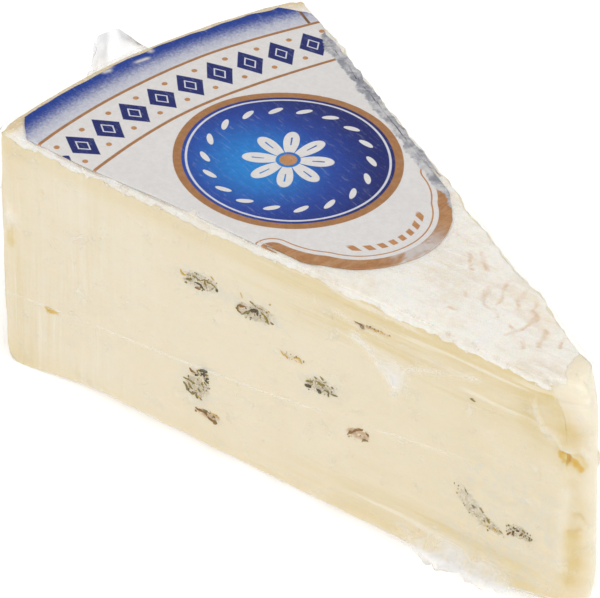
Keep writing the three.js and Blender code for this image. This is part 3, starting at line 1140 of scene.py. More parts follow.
@dataclass
class CheeseBody:
    """The paste and its rind in one closed piece, with openings, folds, streaks and marks."""

    skin: BlockSkin = field(default_factory=lambda: BlockSkin(240, 64, 104, (0.35, 0.5, 0.4)))
    noise: SoftNoise = field(default_factory=lambda: SoftNoise(11))
    lip: float = 1.3
    pocket_share: float = 0.45
    empty_share: float = 0.35
    mark_reach: float = 2.0
    mark_width: float = 0.5
    mark_stray: float = 0.45
    far_fold_drop: float = 3.0
    marks: tuple = (
        ((47.1, 8.6), (44.7, 7.1), (42.8, 5.8)),
        ((45.8, 10.6), (43.7, 9.5), (41.9, 8.9)),
        ((45.7, 2.4), (44.9, 2.1)),
        ((38.1, 5.7), (37.0, 2.2), (35.4, 0.9), (33.4, 1.3)),
        ((32.3, 0.5), (31.3, -0.7)),
        ((37.6, 11.1), (35.8, 7.6), (33.9, 3.8)),
        ((34.8, 12.5), (32.9, 9.0), (31.6, 6.6)),
        ((31.5, 12.4), (29.8, 9.4), (28.2, 9.9), (28.1, 6.6)),
        ((29.4, 0.5), (27.9, 0.1), (27.7, -4.1)),
        ((27.9, 0.1), (27.6, 4.4), (27.8, 9.5)),
        ((25.4, -1.1), (24.2, -4.0)),
        ((25.0, 8.2), (23.7, 4.5), (22.4, -0.2)),
        ((22.5, 11.7), (20.6, 7.1)),
        ((39.1, -0.3), (38.3, -1.0)),
        ((37.8, -6.5), (36.8, -5.8)),
    )
    # A tint above 1 marks a yellow crack; a tint between -1 and 1 paints the paste yellower and darker in a hollow, a
    # painted shade, and paler on a ridge, a painted highlight.
    folds: tuple = (
        Fold(0.9, -0.6, 1.1, ((-12.1, -3.2, 34.0), (-11.4, -2.8, 33.0))),
        Fold(0.6, -0.7, 1.1, ((-11.6, -2.9, 33.6), (-10.9, -2.3, 32.9), (-10.6, -2.2, 31.9), (-10.0, -1.8, 31.5))),
        Fold(0.45, -0.3, 1.1, ((-13.2, -3.5, 34.9), (-12.8, -3.4, 33.6), (-12.3, -3.3, 32.9))),
        Fold(0.6, -0.1, 0.8, ((-10.9, -2.3, 35.0), (-9.9, -1.6, 33.4), (-9.6, -1.4, 32.6))),
        Fold(1.6, 0.0, 0.4, ((-18.6, -4.9, 5.0), (-14.0, -3.7, 4.6), (-11.0, -2.6, 6.2))),
        Fold(0.8, -0.15, 0.8, ((-114.6, -30.4, 27.2), (-114.7, -30.5, 24.6))),
        Fold(0.9, 0.35, -0.7, ((-114.8, -30.3, 32.0), (-114.5, -30.5, 30.2))),
        Fold(1.7, -0.1, 0.35, ((-12.8, -3.4, 34.0), (-10.6, -2.2, 32.4))),
        Fold(1.8, -0.5, 0.9, ((-15.2, -4.1, 42.2), (-13.3, -3.5, 40.0), (-11.6, -2.6, 37.4))),
        Fold(1.8, -0.25, 0.35, ((-19.3, -5.1, 41.0), (-18.6, -4.9, 37.0), (-16.4, -4.3, 34.4))),
        Fold(0.5, 0.8, -0.6, ((-18.0, -4.8, 41.4), (-17.2, -4.6, 39.3), (-15.7, -4.2, 37.3), (-14.0, -3.7, 36.1),
                             (-12.4, -3.3, 35.2), (-10.9, -2.3, 35.1), (-9.7, -1.2, 35.3))),
        Fold(1.5, -0.35, 0.3, ((-10.4, -2.5, 29.0), (-9.6, -2.1, 20.6))),
        Fold(1.6, -0.4, 0.8, ((-9.9, -2.4, 18.6), (-9.4, -2.2, 14.0), (-9.6, -2.3, 9.6))),
        Fold(0.4, -0.3, 0.5, ((-9.8, -2.2, 23.4), (-9.0, -1.5, 23.2), (-8.2, -0.9, 22.0))),
        Fold(0.4, -0.25, 0.5, ((-10.5, -2.9, 20.0), (-9.2, -1.9, 20.2))),
        Fold(1.0, 0.25, -0.3, ((-11.3, -3.1, 27.1), (-11.5, -3.2, 21.4), (-11.3, -3.1, 12.2))),
        Fold(0.4, -0.15, 0.4, ((-17.1, -4.5, 45.4), (-14.4, -3.6, 45.6))),
        Fold(0.35, -0.12, 0.35, ((-17.0, -4.5, 43.7), (-15.2, -4.0, 44.0))),
    )

    def _cut_relief(self, along: Array, height: Array, face: Face) -> tuple[Array, dict[str, Array]]:
        """The relief of a cut face and the values that its finish needs.

        Each opening is a bowl, depth times (1 - spread^2) to the power 0.8, with a ragged spread. Drawn-out
        noise gives knife streaks and creases, and the rind stands out over the paste at the top.

        Args:
            along: Distance from the tip's upright, in millimetres.
            height: Height over the table.
            face: The cut face.

        Returns:
            The relief in millimetres, and named values.
        """
        flat = np.stack([along, height, np.full_like(along, 40.0 * face.value)], axis=1)
        noise = self.noise
        relief = 0.09 * noise.layered(flat, 9) + 0.05 * noise.at(flat, (14, 3.5, 9)) * rise(height, 4, 12)
        taut = rise(height, 33, 38) * rise(along, 78, 58) + rise(height, 13, 8) * rise(along, 66, 48)
        taut *= rise(along, 12, 20)
        combed = 0.18 * rise(along, 86, 98) + 0.65 * rise(along, 99, 105) * rise(noise.at(flat, (5, 12, 9)), -0.4, 0.4)
        combed *= rise(along, 120, 117)
        relief += taut * (0.16 * noise.at(flat, (22, 1.3, 9)) + 0.07 * noise.at(flat, (14, 0.8, 9)))
        relief += 0.05 * combed * noise.at(flat, (0.9, 30, 9))
        relief += 0.2 * rise(height, 7, 2) * noise.layered(flat, 3)
        mould, yellow, rust = (np.zeros_like(along) for _ in range(3))
        halo = rise(along, 38, 28) * rise(along, 9, 15) * rise(height, 30, 24)
        for pocket in POCKETS:
            spread = pocket.spread(along - pocket.shift(face), height) + 0.22 * noise.layered(flat, 1.3)
            bowl = np.clip(1 - spread**2, 0, 1) ** 0.8
            relief -= (self.empty_share if pocket.fill is Fill.EMPTY else self.pocket_share) * pocket.depth * bowl
            relief += 0.2 * bowl * noise.at(flat, 0.8)
            if pocket.fill is Fill.EMPTY:
                yellow = np.maximum(yellow, pocket.depth * rise(spread, 1.3, 0.2))
            elif pocket.fill in (Fill.MOULD, Fill.SMEAR, Fill.DARK):
                mould = np.maximum(mould, rise(spread, 1.35, 0.6))
                ring = rise(spread, 2.2, 1.2) * rise(spread, 0.4, 1.1)
                halo = np.maximum(halo, rise(spread, 2.6, 0.3) if pocket.fill is Fill.SMEAR else ring)
            else:
                rust = np.maximum(rust, (0.4 if pocket.fill is Fill.FAINT else 1.0) * rise(spread, 1.25, 0.5))
        edge = FORM.height - self.lip + 0.4 * noise.layered(flat, 4) + 0.5 * noise.at(flat, 1.1)
        relief += 0.14 * rise(height, edge - 0.3, edge + 0.3)
        relief += rise(height, 42.5, 45.5) * (0.16 * noise.at(flat, 2.4) + 0.14 * noise.at(flat, 0.9))
        butter = 0.3 * rise(height, 40.5, 43.5) + 0.22 * rise(height, 7.5, 1.5) + 0.2 * rise(along, 60, 20)
        butter += 0.15 * taut + 0.08 * rise(along, 100, 75) + 0.2 * rise(along, 111, 118)
        rind = 0.5 + np.clip((height - edge) / 1.6, -0.5, 0.5)
        return relief, {"mould": mould, "halo": halo, "yellow": yellow, "rust": rust, "butter": butter,
                        "rind": rind, "taut": taut, "combed": combed}

    def _rind_relief(self, points: Array, on_top: Array) -> tuple[Array, Array]:
        """The relief of the rind: soft lumps, and dents under the marks.

        Args:
            points: The smooth form's points.
            on_top: How far each faces up.

        Returns:
            The relief in millimetres, and the distance to the nearest mark.
        """
        noise, under_label = self.noise, rise(-points[:, 0], 48, 52)
        stray = np.stack([noise.layered(points + shift, 2.6) for shift in (0.0, 40.0)], axis=1)
        strayed = points[:, :2] + stray * self.mark_stray
        mark = np.full(len(points), self.mark_reach)
        for stroke in self.marks:
            mark = np.minimum(mark, path_distance(strayed, polar(*stroke)))
        mark = self.mark_reach + (mark - self.mark_reach) * on_top
        lumps = 0.14 * noise.layered(points, 6.5) * (1 - 0.7 * under_label * on_top)
        brushed = np.column_stack([*turned(points[:, 0], points[:, 1], -FORM.half_angle), points[:, 2]])
        lumps += 0.09 * noise.at(brushed, (9, 1.6, 9)) * (1 - under_label)
        return lumps - 0.12 * np.exp(-((mark / self.mark_width) ** 2)), mark

    def _add_folds(self, points: Array, relief: Array, values: dict[str, Array]) -> None:
        """Adds the folds and cracks of the tip to the relief and the values, on both sides, with painted shade in the
        hollows and painted light on the ridges.
        """
        noise = self.noise
        patchy = 0.9 + 0.3 * noise.layered(points, 2.2)
        shaken = points + np.stack([noise.at(points + shift, 1.3) for shift in (5.0, 25.0, 45.0)], axis=1) * 0.6
        for fold in self.folds:
            for mirror, drop in ((1.0, 0.0), (-1.0, self.far_fold_drop)):
                path = np.array(fold.path) * (1.0, mirror, 1.0) - (0.0, 0.0, drop)
                mask = near_path(shaken if fold.width < 1 else points, path, fold.width)
                relief += fold.height * mask
                if fold.tint > 1:
                    values["yellow"] = np.maximum(values["yellow"], mask)
                else:
                    # Painted shade in a hollow, painted light on a ridge.
                    values["butter"] += fold.tint * mask * patchy

    def build(self, material: bpy.types.Material) -> bpy.types.Object:
        """Builds the piece.

        Args:
            material: The cheese's finish.

        Returns:
            The piece, which stands for the solid.
        """
        skin, noise = self.skin, self.noise
        surface = Surface(FORM.points(skin.a, skin.b, skin.c, 0.0), [skin.quads])
        points, normals = surface.points, surface.normals()
        x, y, z = points.T
        out = np.hypot(x, y)
        side = np.where(y < 0, -1.0, 1.0)
        on_cut = rise(normals[:, 0] * SIN + side * normals[:, 1] * COS, 0.72, 0.93)
        on_top = rise(normals[:, 2], 0.5, 0.85)
        rind_relief, mark = self._rind_relief(points, on_top)
        relief = (1 - on_cut) * rind_relief
        relief += 0.15 * rise(-normals[:, 0], 0.5, 0.85) * noise.at(points, (9, 3.0, 16))

        # The rind ends in a torn edge round the tip.
        nose = rise(normals[:, 0], 0.45, 0.8)
        bare = rise(out - 0.75 * y + 0.6 * noise.layered(points, 2.0), 15.3, 16.4)
        torn = rise(cut_gap(points) + 0.5 * noise.layered(points, 2.5), 0.0, 0.8)
        bare = np.minimum(bare, np.where(y > 0, torn, 1.0))
        values = {key: np.zeros(len(points)) for key in ("mould", "halo", "yellow", "rust", "butter", "taut", "combed")}
        values["rind"] = np.where(nose > 0.2, 0.0, np.where(on_top > 0.3, bare, 1.0))
        for face in Face:
            mine = (side == face.value) & (on_cut > 0)
            cut, found = self._cut_relief(cut_along(points[mine]), z[mine], face)
            relief[mine] += on_cut[mine] * cut
            for key, value in found.items():
                values[key][mine] += (value - values[key][mine]) * on_cut[mine]
        self._add_folds(points, relief, values)
        # The tip's face is made paler, most towards its top: painted light.
        nose_top = rise(-x, 19, 14) * rise(z, 38, 45)
        values["butter"] += 0.12 * nose * noise.layered(points, 4) - 0.4 * nose_top - 0.1 * nose
        values["butter"] = np.clip(values["butter"], -1, 1)
        values["mark"] = mark
        values["skin"] = rise(out + 1.2 * noise.layered(points, 4), 117.0, 119.5) * (0.8 + 0.2 * on_top)
        relief += edge_swell(points)
        surface.points = points + relief[:, None] * normals
        surface.points[:, 2] = np.maximum(surface.points[:, 2], 0.0)
        surface.values = values
        lips = (cut_gap(points) < 1.1) & (np.abs(z - (FORM.height - 0.6)) < 0.9) & (-x > 16)
        self.lips = surface.points[lips & (y < 0) & (-x < FORM.radius - 4)]
        piece = surface.piece("cheese_body", material, "cheese")
        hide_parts("cheese_wedge")
        return piece


# ---- Mould growth ----


@dataclass(frozen=True)
class Strand:
    """One mould thread: its tone, its width and its places on the near face, along it and up it."""

    tone: Tone
    width: float
    path: tuple


BLACK, OLIVE, GREY, BROWN, GOLD = Tone
STRANDS = tuple(Strand(tone, width, tuple(path)) for tone, width, *path in (
    # The long opening under the label's middle.
    (GOLD, 0.4, (84.1, 35.3), (83.9, 34.5), (83.3, 34.5)),
    (OLIVE, 0.25, (83.3, 34.5), (82.1, 34.8), (80.7, 34.7), (79.9, 35.0), (78.6, 35.4)),
    (GREY, 0.3, (83.3, 33.8), (82.1, 34.0)),
    (GREY, 0.25, (83.4, 33.1), (82.9, 33.2)),
    (BLACK, 0.3, (81.7, 33.7), (80.4, 33.7), (79.5, 33.3)),
    (BROWN, 0.3, (81.4, 33.0), (80.2, 33.1)),
    (OLIVE, 0.25, (79.8, 34.8), (79.5, 34.1)),
    (OLIVE, 0.25, (79.3, 34.9), (77.7, 34.8), (76.9, 34.3)),
    (BLACK, 0.4, (77.3, 34.6), (76.9, 34.2)),
    (GOLD, 0.3, (78.3, 36.7), (77.7, 36.1)),
    # The opening beside it, towards the tip.
    (GOLD, 0.2, (72.5, 36.3), (72.0, 35.3)),
    (BROWN, 0.4, (73.0, 33.6), (72.0, 33.7), (71.3, 33.6)),
    (BROWN, 0.35, (73.0, 33.6), (72.8, 32.7), (72.1, 32.2)),
    (GREY, 0.35, (72.1, 32.2), (71.1, 32.9), (70.5, 33.6)),
    (BLACK, 0.6, (70.7, 33.4), (69.4, 34.1)),
    (OLIVE, 0.3, (70.6, 35.5), (69.9, 35.2), (69.6, 34.5)),
    (OLIVE, 0.25, (69.5, 34.7), (68.3, 34.7)),
    (BLACK, 0.35, (69.4, 34.2), (69.1, 33.2)),
    (OLIVE, 0.4, (68.6, 34.1), (67.8, 33.8), (66.8, 32.7)),
    (BROWN, 0.35, (66.7, 33.3), (65.8, 33.2)),
    (GOLD, 0.35, (66.9, 36.7), (66.7, 36.5)),
    (GOLD, 0.35, (67.0, 35.3), (66.8, 35.1)),
    # The dark upright opening low on the face.
    (BROWN, 0.35, (82.1, 16.7), (81.9, 16.3), (81.1, 15.8)),
    (BLACK, 0.4, (81.3, 15.3), (80.6, 15.7)),
    (OLIVE, 0.35, (80.8, 16.8), (80.5, 16.1), (80.0, 15.7)),
    (BLACK, 0.6, (80.2, 17.0), (79.3, 17.4), (78.5, 17.6)),
    (BLACK, 0.55, (80.0, 16.5), (78.8, 16.8)),
    (OLIVE, 0.35, (79.4, 16.5), (78.3, 16.9)),
    (BLACK, 0.4, (79.3, 16.1), (79.1, 15.5), (78.3, 15.2)),
    (OLIVE, 0.25, (79.7, 14.7), (80.0, 13.9), (79.4, 13.6)),
    (OLIVE, 0.3, (83.5, 14.0), (82.5, 14.0), (81.2, 13.5)),
    (GREY, 0.45, (83.4, 13.2), (82.9, 12.7), (82.4, 11.7)),
    (GREY, 0.35, (82.4, 11.7), (81.6, 11.6), (81.0, 11.8), (80.8, 10.9)),
    (GOLD, 0.3, (80.6, 11.4), (79.8, 11.1)),
    (OLIVE, 0.35, (81.0, 16.4), (80.4, 16.9), (79.9, 17.3)),
    (OLIVE, 0.35, (82.4, 13.4), (82.0, 12.6), (81.6, 12.2)),
    (OLIVE, 0.3, (79.4, 15.0), (78.8, 14.4)),
    (GREY, 0.3, (80.6, 13.0), (80.2, 12.3)),
    (BLACK, 0.4, (78.9, 16.0), (78.2, 16.3)),
    # The brown slit below it.
    (BROWN, 0.4, (81.0, 9.0), (80.3, 8.8), (79.8, 8.7), (78.8, 8.3)),
    (GREY, 0.35, (79.5, 9.2), (78.5, 9.0), (78.2, 8.6)),
    (BROWN, 0.55, (78.8, 8.0), (77.8, 7.8), (76.5, 7.9)),
    (GOLD, 0.3, (77.8, 9.0), (76.9, 9.3), (76.3, 9.2)),
    # Two small openings in the middle of the face.
    (GOLD, 0.3, (64.4, 29.0), (63.7, 28.3), (62.6, 28.0)),
    (GOLD, 0.25, (61.8, 28.6), (60.8, 29.0), (60.4, 28.0)),
    (BLACK, 0.45, (59.8, 24.3), (58.6, 24.1)),
    (OLIVE, 0.4, (59.6, 25.1), (58.4, 25.2)),
    (OLIVE, 0.3, (58.1, 26.5), (57.5, 26.5)),
    (OLIVE, 0.35, (57.0, 27.2), (56.3, 26.6)),
    (OLIVE, 0.4, (58.0, 25.5), (56.3, 25.3)),
    (BLACK, 0.45, (57.8, 24.3), (56.8, 23.8)),
    (GREY, 0.35, (56.5, 24.4), (55.3, 24.2)),
    (GREY, 0.25, (55.1, 24.5), (53.6, 24.7)),
    (BROWN, 0.45, (51.6, 18.2), (49.7, 20.1), (48.7, 20.5)),
    (BROWN, 0.4, (48.2, 20.2), (47.7, 19.6)),
    (GREY, 0.35, (48.9, 18.4), (47.6, 18.7)),
    # The slit under the rind, and faint spots towards the tip.
    (BROWN, 0.35, (51.0, 41.0), (49.9, 40.6)),
    (BROWN, 0.55, (50.2, 40.7), (49.0, 40.3)),
    (GOLD, 0.3, (48.7, 41.3), (48.0, 41.0), (47.0, 40.9), (45.6, 41.5)),
    (OLIVE, 0.3, (29.5, 36.6), (28.5, 36.4)),
    # The smeared opening at the tip.
    (GREY, 0.2, (29.6, 18.8), (29.0, 17.6)),
    (GREY, 0.35, (28.3, 16.0), (27.6, 15.6)),
    (OLIVE, 0.4, (26.8, 16.2), (26.0, 15.5)),
    (OLIVE, 0.3, (25.4, 15.0), (24.6, 14.2)),
    (GOLD, 0.35, (24.2, 13.5), (23.2, 13.3)),
    (GREY, 0.25, (22.9, 13.8), (22.1, 13.4)),
    (BROWN, 0.3, (21.4, 13.6), (20.8, 14.5)),
    (BROWN, 0.3, (20.6, 14.0), (20.2, 15.0)),
    (BLACK, 0.45, (20.5, 15.4), (19.9, 16.0)),
    (BLACK, 0.35, (20.0, 15.1), (19.4, 15.5)),
    (BROWN, 0.3, (19.2, 14.4), (18.8, 15.3)),
    (OLIVE, 0.3, (18.9, 16.1), (18.1, 15.6)),
    (GREY, 0.2, (17.7, 15.3), (17.0, 14.7)),
))


@dataclass
class MouldGrowth:
    """Threads that lie half sunk in the openings of both cut faces, and crumbs between them."""

    spacing: float = 0.14
    sides: int = 6
    wander: float = 0.1
    flatness: float = 0.5
    stoutness: float = 1.6
    lip_crumbs: int = 260
    fill_area: float = 18.0
    mould_seed: int = 31
    paste_seed: int = 37
    noise: SoftNoise = field(default_factory=lambda: SoftNoise(23))

    def _sunk(self, body: CheeseBody, along: Array, height: Array, face: Face) -> Array:
        """Places on the cheese's real surface, with its openings."""
        relief, _ = body._cut_relief(along, height, face)
        lift = 0.02 + relief + face_sway(along, height, face) * COS
        return face.place(along, height, lift)

    def _thread(self, body: CheeseBody, item: Strand, face: Face) -> tuple[Array, Array]:
        """One thread as a tube: rings across a wandering path, flattened, and drawn to a point at both ends.

        Args:
            body: The cheese that it lies on.
            item: The thread.
            face: The cut face.

        Returns:
            The tube's points, and its quads.
        """
        corners = np.array(item.path, dtype=float)
        if face is Face.FAR:
            corners[:, 0] += far_shift(float(corners[:, 0].mean()))
        runs = np.concatenate([[0], np.cumsum(np.linalg.norm(np.diff(corners, axis=0), axis=1))])
        count = max(4, int(runs[-1] / self.spacing))
        t = np.linspace(0, 1, count + 1)
        flat = np.stack([np.interp(t * runs[-1], runs, corners[:, k]) for k in (0, 1)], axis=1)
        seeds = np.column_stack([flat, np.full(count + 1, 90.0 * face.value + item.width)])
        flat[:, 0] += self.wander * self.noise.at(seeds, 0.45)
        flat[:, 1] += self.wander * self.noise.at(seeds + 50, 0.45)
        middle = self._sunk(body, flat[:, 0], flat[:, 1], face)
        uneven = 0.75 + 0.45 * self.noise.at(seeds + 9, 0.35)
        radius = self.stoutness * item.width / 2 * uneven * (1 - 0.85 * (2 * t - 1) ** 4)
        way = np.gradient(middle, axis=0)
        way /= np.linalg.norm(way, axis=1, keepdims=True)
        out = np.broadcast_to(face.outward, way.shape)
        across = np.cross(out, way)
        turn = np.linspace(0, 2 * np.pi, self.sides, endpoint=False)
        ring = np.cos(turn)[:, None] * across[:, None] + self.flatness * np.sin(turn)[:, None] * out[:, None]
        points = middle[:, None] + radius[:, None, None] * ring
        number = np.arange((count + 1) * self.sides).reshape(count + 1, self.sides)
        tube = sheet_quads(np.column_stack([number, number[:, 0]]), flipped=True)
        return points.reshape(-1, 3), tube

    def threads(self, body: CheeseBody, material: bpy.types.Material) -> bpy.types.Object:
        """All the threads as one piece."""
        points, quads, fans, tones, base, around = [], [], [], [], 0, np.arange(self.sides)
        for face in Face:
            for item in STRANDS:
                tube, sides = self._thread(body, item, face)
                count = len(tube)
                points += [tube, tube[: self.sides].mean(axis=0)[None], tube[-self.sides:].mean(axis=0)[None]]
                quads.append(sides + base)
                for start, tip, way in ((0, count, 1), (count - self.sides, count + 1, -1)):
                    ring = around + start
                    fan = [ring, np.roll(ring, -1)][::way]
                    fans.append(np.stack([*fan, np.full(self.sides, tip)], axis=-1) + base)
                tones.append(np.full(count + 2, item.tone.value))
                base += count + 2
        surface = Surface(np.concatenate(points), [np.concatenate(quads), np.concatenate(fans)],
                          {"tone": np.concatenate(tones)})
        return surface.piece("mould_threads", material, "cheese")

    def _strewn(self, centres: Array, size: Array, chance: np.random.Generator) -> Surface:
        """Small lumps at some places: one many-sided lump, stretched, roughened and turned by lot.

        Args:
            centres: The lumps' middles, one a row.
            size: Their sizes, from middle to side.
            chance: The seeded source of the lots.

        Returns:
            The lumps' closed surfaces, 20 points each.
        """
        rings, around, many = 3, 6, len(centres)
        lift = np.linspace(0, np.pi, rings + 2)[1:-1]
        turn = np.linspace(0, 2 * np.pi, around, endpoint=False)
        belt = np.stack([np.outer(np.sin(lift), np.cos(turn)), np.outer(np.sin(lift), np.sin(turn)),
                         np.outer(np.cos(lift), np.ones(around))], axis=-1).reshape(-1, 3)
        lump = np.concatenate([belt, [[0, 0, 1], [0, 0, -1]]])
        number = np.arange(rings * around).reshape(rings, around)
        quads = sheet_quads(np.column_stack([number, number[:, 0]]))
        top, low = rings * around, rings * around + 1
        caps = np.concatenate([
            np.stack([number[0], np.roll(number[0], -1), np.full(around, top)], axis=-1),
            np.stack([np.roll(number[-1], -1), number[-1], np.full(around, low)], axis=-1),
        ])
        scale = size[:, None, None] * chance.uniform(0.6, 1.5, (many, 1, 3))
        rough = 1 + 0.25 * chance.uniform(-1, 1, (many, len(lump), 1))
        angle = chance.uniform(0, 2 * np.pi, many)
        cos, sin, zero, one = np.cos(angle), np.sin(angle), np.zeros(many), np.ones(many)
        spin = np.stack([cos, -sin, zero, sin, cos, zero, zero, zero, one], axis=-1).reshape(many, 3, 3)
        points = centres[:, None] + np.einsum("nij,nkj->nki", spin, lump * scale * rough)
        base = (np.arange(many) * len(lump))[:, None, None]
        return Surface(points.reshape(-1, 3), [(part + base).reshape(-1, part.shape[1]) for part in (quads, caps)])

    def _in_pockets(self, body: CheeseBody, density: float, chance: np.random.Generator) -> tuple[Array, Array]:
        """Places by lot in the openings of both faces, and a tone for each by what the opening holds."""
        spots, tones = [], []
        for face in Face:
            for pocket in (p for p in POCKETS if p.fill is not Fill.EMPTY):
                crowd, shares = pocket.fill.value
                many = int(density * crowd * pocket.length * pocket.width / self.fill_area) + 3
                reach = np.sqrt(chance.uniform(0, 1, many)) * 1.05
                bearing = chance.uniform(0, 2 * np.pi, many)
                p, q = reach * np.cos(bearing) * pocket.length / 2, reach * np.sin(bearing) * pocket.width / 2
                along, height = turned(p, q, math.radians(pocket.tilt))
                spots.append(self._sunk(body, pocket.along + pocket.shift(face) + along, pocket.height + height, face))
                tones.append(chance.choice([tone.value for tone in Tone], many, p=shares))
        return np.concatenate(spots), np.concatenate(tones)

    def crumbs(self, body: CheeseBody, material: bpy.types.Material) -> bpy.types.Object:
        """Dark and gold crumbs strewn in the openings."""
        chance = np.random.default_rng(self.mould_seed)
        centres, tone = self._in_pockets(body, 1.0, chance)
        surface = self._strewn(centres, chance.uniform(0.05, 0.15, len(centres)), chance)
        surface.values["tone"] = np.repeat(tone, len(surface.points) // len(tone))
        return surface.piece("mould_crumbs", material, "cheese")

    def cheese_crumbs(self, body: CheeseBody, material: bpy.types.Material) -> bpy.types.Object:
        """Pale crumbs: torn paste in the openings, and bits of rind along the near top edge."""
        chance = np.random.default_rng(self.paste_seed)
        torn, _ = self._in_pockets(body, 0.25, chance)
        lip = body.lips[chance.integers(0, len(body.lips), self.lip_crumbs)]
        lip = lip + chance.uniform(-0.15, 0.15, lip.shape) + (0.0, 0.15, -0.12)
        size = np.concatenate([chance.uniform(0.08, 0.2, len(torn)), 0.1 + 0.24 * chance.uniform(0, 1, len(lip)) ** 2])
        surface = self._strewn(np.concatenate([torn, lip]), size, chance)
        each = len(surface.points) // len(size)
        surface.values["rind"] = np.repeat(np.concatenate([np.zeros(len(torn)), np.ones(len(lip))]), each)
        surface.values["mark"] = np.full(len(surface.points), body.mark_reach)
        return surface.piece("cheese_crumbs", material, "cheese")


# ---- The label ----


@dataclass
class PaperLabel:
    """The printed label: a thin closed sheet on the rind, round towards the tip and crumpled at the far cut."""

    rows: int = 170
    columns: int = 110
    rim_margin: float = 2.5
    side_margin: float = 0.3
    far_margin: float = 0.9
    corner: float = 4.0
    end_from_apex: float = 64.5
    end_radius: float = 14.8
    end_flare: float = 3.2
    flare_from: float = math.radians(60)
    flare_to: float = math.radians(104)
    inside: float = 0.09
    thickness: float = 0.09
    film_glint_width: float = 0.35
    # Painted highlights of the film, as paths seen from above: distance to the tip and bearing in degrees.
    film_glints: tuple = (
        ((120.0, 0.3), (118.6, 0.5)), ((117.6, -1.5), (117.4, -0.4)), ((119.4, -4.4), (118.3, -4.0), (119.2, -3.5)),
    )
    noise: SoftNoise = field(default_factory=lambda: SoftNoise(41))

    def _end_outline(self) -> Array:
        """The round end seen from above: a circle whose radius grows past the flare, kept off the cuts."""
        turn = np.linspace(-self.flare_to, self.flare_to, 121)
        flare = np.clip((np.abs(turn) - self.flare_from) / (self.flare_to - self.flare_from), 0, 1)
        radius = self.end_radius + self.end_flare * flare
        x = radius * np.cos(turn) - self.end_from_apex
        half = -x * math.tan(FORM.half_angle) - self.side_margin / COS
        return np.stack([x, np.clip(radius * np.sin(turn), -half, half)], axis=1)

    def build(self, material: bpy.types.Material) -> bpy.types.Object:
        """Builds the piece.

        The grid runs from the round end to the rim and from the near cut to the far one, along lines
        through the sharp tip, and is laid on the form's top.

        Args:
            material: The label's finish.

        Returns:
            The piece, which stands for the solid.
        """
        outline = self._end_outline()
        bearing = np.arctan2(outline[:, 1], -outline[:, 0])
        reach = np.hypot(*outline.T)
        limit = FORM.half_angle - np.arcsin(self.side_margin / reach)
        share, first = np.unique(np.round(bearing / limit, 4), return_index=True)
        v = 2 * ends_closer(self.columns, 0.6) - 1
        start = np.interp(v, share, reach[first])
        torn = np.stack([np.full_like(v, 3.0), 30 * v, np.zeros_like(v)], axis=1)
        rim_end = FORM.radius - self.rim_margin + 0.22 * self.noise.layered(torn, 3.0)
        end = rim_end - self.corner * np.clip((np.abs(v) - 0.86) / 0.14, 0, 1)
        u = ends_closer(self.rows, 0.3)[:, None]
        radius = start + (end - start) * u
        ragged = np.stack([radius.ravel(), np.zeros(radius.size), np.full(radius.size, 9.0)], axis=1)
        margin = self.far_margin + 0.4 * self.noise.layered(ragged, 2.4).reshape(radius.shape)
        margin = np.where(v > 0, np.clip(margin, self.side_margin, None), self.side_margin)
        turn = v * (FORM.half_angle - np.arcsin(margin / radius))
        x, y = -radius * np.cos(turn), radius * np.sin(turn)
        shape = x.shape
        plan = np.stack([x.ravel(), y.ravel()], axis=1)
        end_gap = path_distance(plan, outline[8:-8])
        far_gap = (-plan[:, 0] * SIN - plan[:, 1] * COS) - self.side_margin
        far_gap += 6 * rise(np.hypot(*plan.T), 108, 112)
        seeds = np.column_stack([plan, np.zeros(len(plan))])
        crumple = rise(far_gap, 4.0, 1.0) * np.abs(self.noise.layered(seeds, 2.2)) * 0.12
        lift = crumple + 0.03 * self.noise.layered(seeds, 7) + 0.03
        upper = FORM.on_top(plan[:, 0], plan[:, 1], self.inside + self.thickness)
        lower = FORM.on_top(plan[:, 0], plan[:, 1], self.inside)
        upper[:, 2] += lift
        lower[:, 2] += 0.5 * lift
        # Painted highlights: how close each place is to a film glint.
        film_glint = np.zeros(len(plan))
        for stroke in self.film_glints:
            film_glint = np.maximum(film_glint, near_path(plan, polar(*stroke), self.film_glint_width))
        surface = closed_sheet(upper.reshape(*shape, 3), lower.reshape(*shape, 3),
                               {"end_gap": end_gap, "far_gap": far_gap, "film_glint": film_glint})
        surface.faces[0] = surface.faces[0][:, ::-1]
        piece = surface.piece("printed_label", material, "label")
        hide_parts("paper_label")
        return piece


# ---- The film ----


